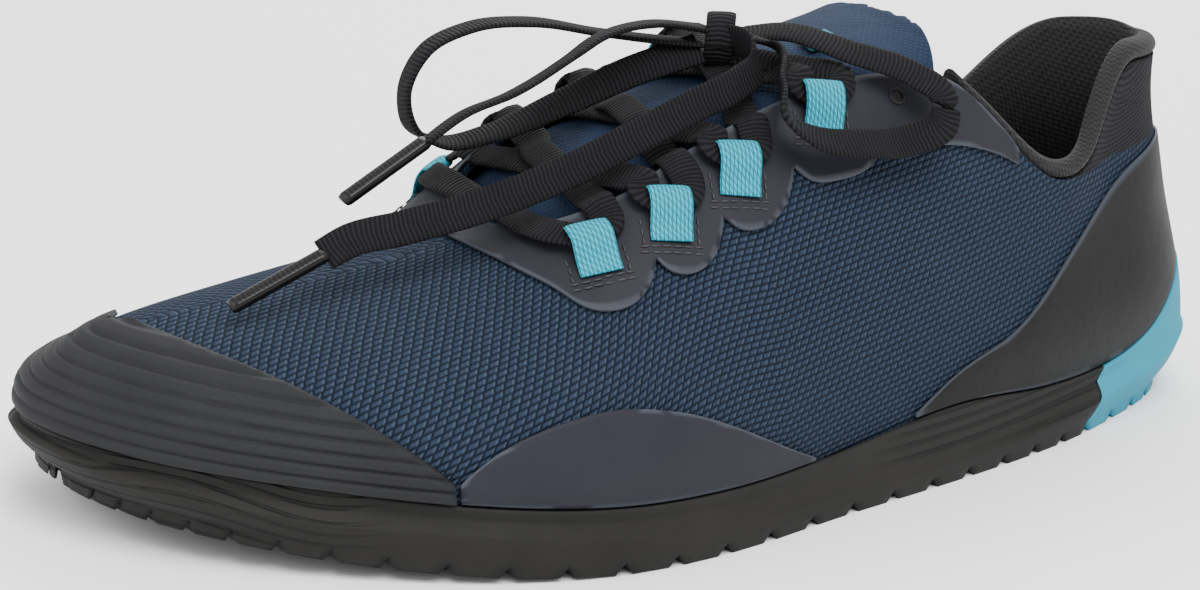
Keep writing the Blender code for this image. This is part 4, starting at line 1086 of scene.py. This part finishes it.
def make_shells(skin):
    """Pieces that are a smooth copy of their frame node."""
    for node, name, crease_angle, material, slot in (
            ("outsole", "moulded_outsole", 32.0, SOLE_RUBBER, "outsole_rubber"),
            ("heel_rubber", "moulded_heel", 32.0, HEEL_RUBBER, "turquoise_rubber"),
            ("insole", "cloth_insole", 60.0, INSOLE_CLOTH, "insole_foam"),
            ("side_film_outer", "outer_side_film", 60.0, SIDE_FILM, "side_film"),
            ("side_film_inner", "inner_side_film", 60.0, SIDE_FILM, "side_film"),
            ("heel_counter", "heel_counter_film", 60.0, COUNTER_FILM, "counter_film"),
            ("eyestay", "throat_film", 60.0, EYESTAY_FILM, "eyestay_film")):
        thing = fine_copy(node, name, 2, crease_angle)
        if slot.endswith("film"):
            set_weave(thing, film_edge(thing, skin))
        settle(thing, material)
        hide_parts(node)


FRAY_LENGTH = 5 * MM


def fray(tongue):
    """Pull the cut top edge of the tongue into short uneven frays."""
    places = points_of(tongue)
    top = places[:, 0] + places[:, 2] * 0.6
    near = np.clip((top - (top.max() - FRAY_LENGTH)) / FRAY_LENGTH, 0, 1)
    aside = places[:, 1] / MM
    wave = (np.sin(aside * 2.9) * 0.45 + np.sin(aside * 6.7 + 1.0) * 0.35
            + np.sin(aside * 1.3 + places[:, 2] / MM * 0.8) * 0.5)
    places[:, 0] += near ** 2 * (wave * 1.1 - 0.6) * MM
    places[:, 2] += near ** 2 * (wave * 0.8 - 2.4) * MM
    set_points(tongue, places)


def make_soft():
    """Padded collar, tongue and label."""
    collar = fine_copy("collar_lining", "padded_collar", 2, 80.0)
    settle(collar, COLLAR_MESH)
    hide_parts("collar_lining")
    tongue = fine_copy("tongue", "padded_tongue", 3, 75.0)
    fray(tongue)
    settle(tongue, TONGUE_CLOTH)
    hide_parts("tongue")
    label = fine_copy("tongue_label", "bare_label", 2, 60.0)
    settle(label, LABEL_CLOTH)
    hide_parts("tongue_label")


EYELET_PLACE = np.array([22.2, -26.6, 76.4]) * MM + ASIDE
EYELET_LOOK = Vector((0.25, 0.8, -0.55))
EYELET_RADIUS = 1.75 * MM
EYELET_RIM = 0.3 * MM
EYELET_LIFT = 0.1 * MM
EYELET_DEPTH = 0.9 * MM


def make_eyelet(film):
    """Punched eyelet that the lace leaves empty; its rim and hollow are painted near black as the
    shade in the hole.
    """
    look = EYELET_LOOK.normalized()
    spot, normal, _, _ = film.ray_cast(Vector(EYELET_PLACE) - look * 30 * MM, look)
    if normal.dot(look) > 0:
        normal = -normal
    bpy.ops.object.select_all(action="DESELECT")
    bpy.ops.mesh.primitive_cylinder_add(
        vertices=32, radius=EYELET_RADIUS, depth=EYELET_RIM, location=spot + normal * EYELET_LIFT,
        rotation=normal.to_track_quat("Z", "Y").to_euler())
    eyelet = bpy.context.active_object
    eyelet.name = "punched_eyelet"
    bpy.ops.object.transform_apply(location=True, rotation=True, scale=True)
    bpy.ops.object.mode_set(mode="EDIT")
    bpy.ops.mesh.select_all(action="DESELECT")
    bpy.ops.object.mode_set(mode="OBJECT")
    for face in eyelet.data.polygons:
        face.select = face.normal.dot(normal) > 0.9
    bpy.ops.object.mode_set(mode="EDIT")
    bpy.ops.mesh.select_mode(type="FACE")
    bpy.ops.mesh.inset(thickness=EYELET_RIM)
    inwards = tuple(normal * -EYELET_DEPTH)
    bpy.ops.mesh.extrude_region_move(TRANSFORM_OT_translate={"value": inwards})
    bpy.ops.object.mode_set(mode="OBJECT")
    rounding = eyelet.modifiers.new("rounding", "BEVEL")
    rounding.width = 0.12 * MM
    rounding.segments = 2
    apply_all(eyelet)
    # The eyelet is painted near black all over: painted shade in the hole
    settle(eyelet, PAINTED_HOLE_SHADE, smooth=False)


def make_stage():
    """Pale floor, even light all round and three soft lamps."""
    bpy.ops.mesh.primitive_plane_add(size=6.0, location=(0, 0, 0))
    floor = bpy.context.active_object
    floor.name = "floor"
    paint = Paint("pale_floor", specular=0.2)
    paint.colour((0.93, 0.93, 0.93))
    paint.roughness(0.9)
    floor.data.materials.append(paint.material)
    world = bpy.data.worlds.new("soft_studio")
    world.use_nodes = True
    background = world.node_tree.nodes["Background"]
    background.inputs["Color"].default_value = (1.0, 1.0, 1.0, 1)
    background.inputs["Strength"].default_value = 1.15
    bpy.context.scene.world = world
    shoe_middle = Vector((0, 0, 40 * MM))
    for name, place, size, power in (("key", (-0.3, -0.8, 1.3), 1.0, 36.0),
                                     ("fill", (-1.2, 0.3, 0.7), 1.0, 10.0),
                                     ("back", (0.7, 0.8, 0.9), 0.9, 18.0)):
        data = bpy.data.lights.new(name, "AREA")
        data.size = size
        data.energy = power
        lamp = link(name, data)
        lamp.location = place
        lamp.rotation_euler = (shoe_middle - Vector(place)).to_track_quat("-Z", "Y").to_euler()


make_camera()
make_free_lace()
upper = make_upper()
make_bumper(tree_of(upper), tree_of(nodes["outsole"]))
make_shells(tree_of(upper))
make_soft()
film = tree_of(nodes["eyestay"])
loops = make_loops(film)
make_lacing(loops, film)
make_stitches(loops, film)
make_eyelet(film)
make_stage()
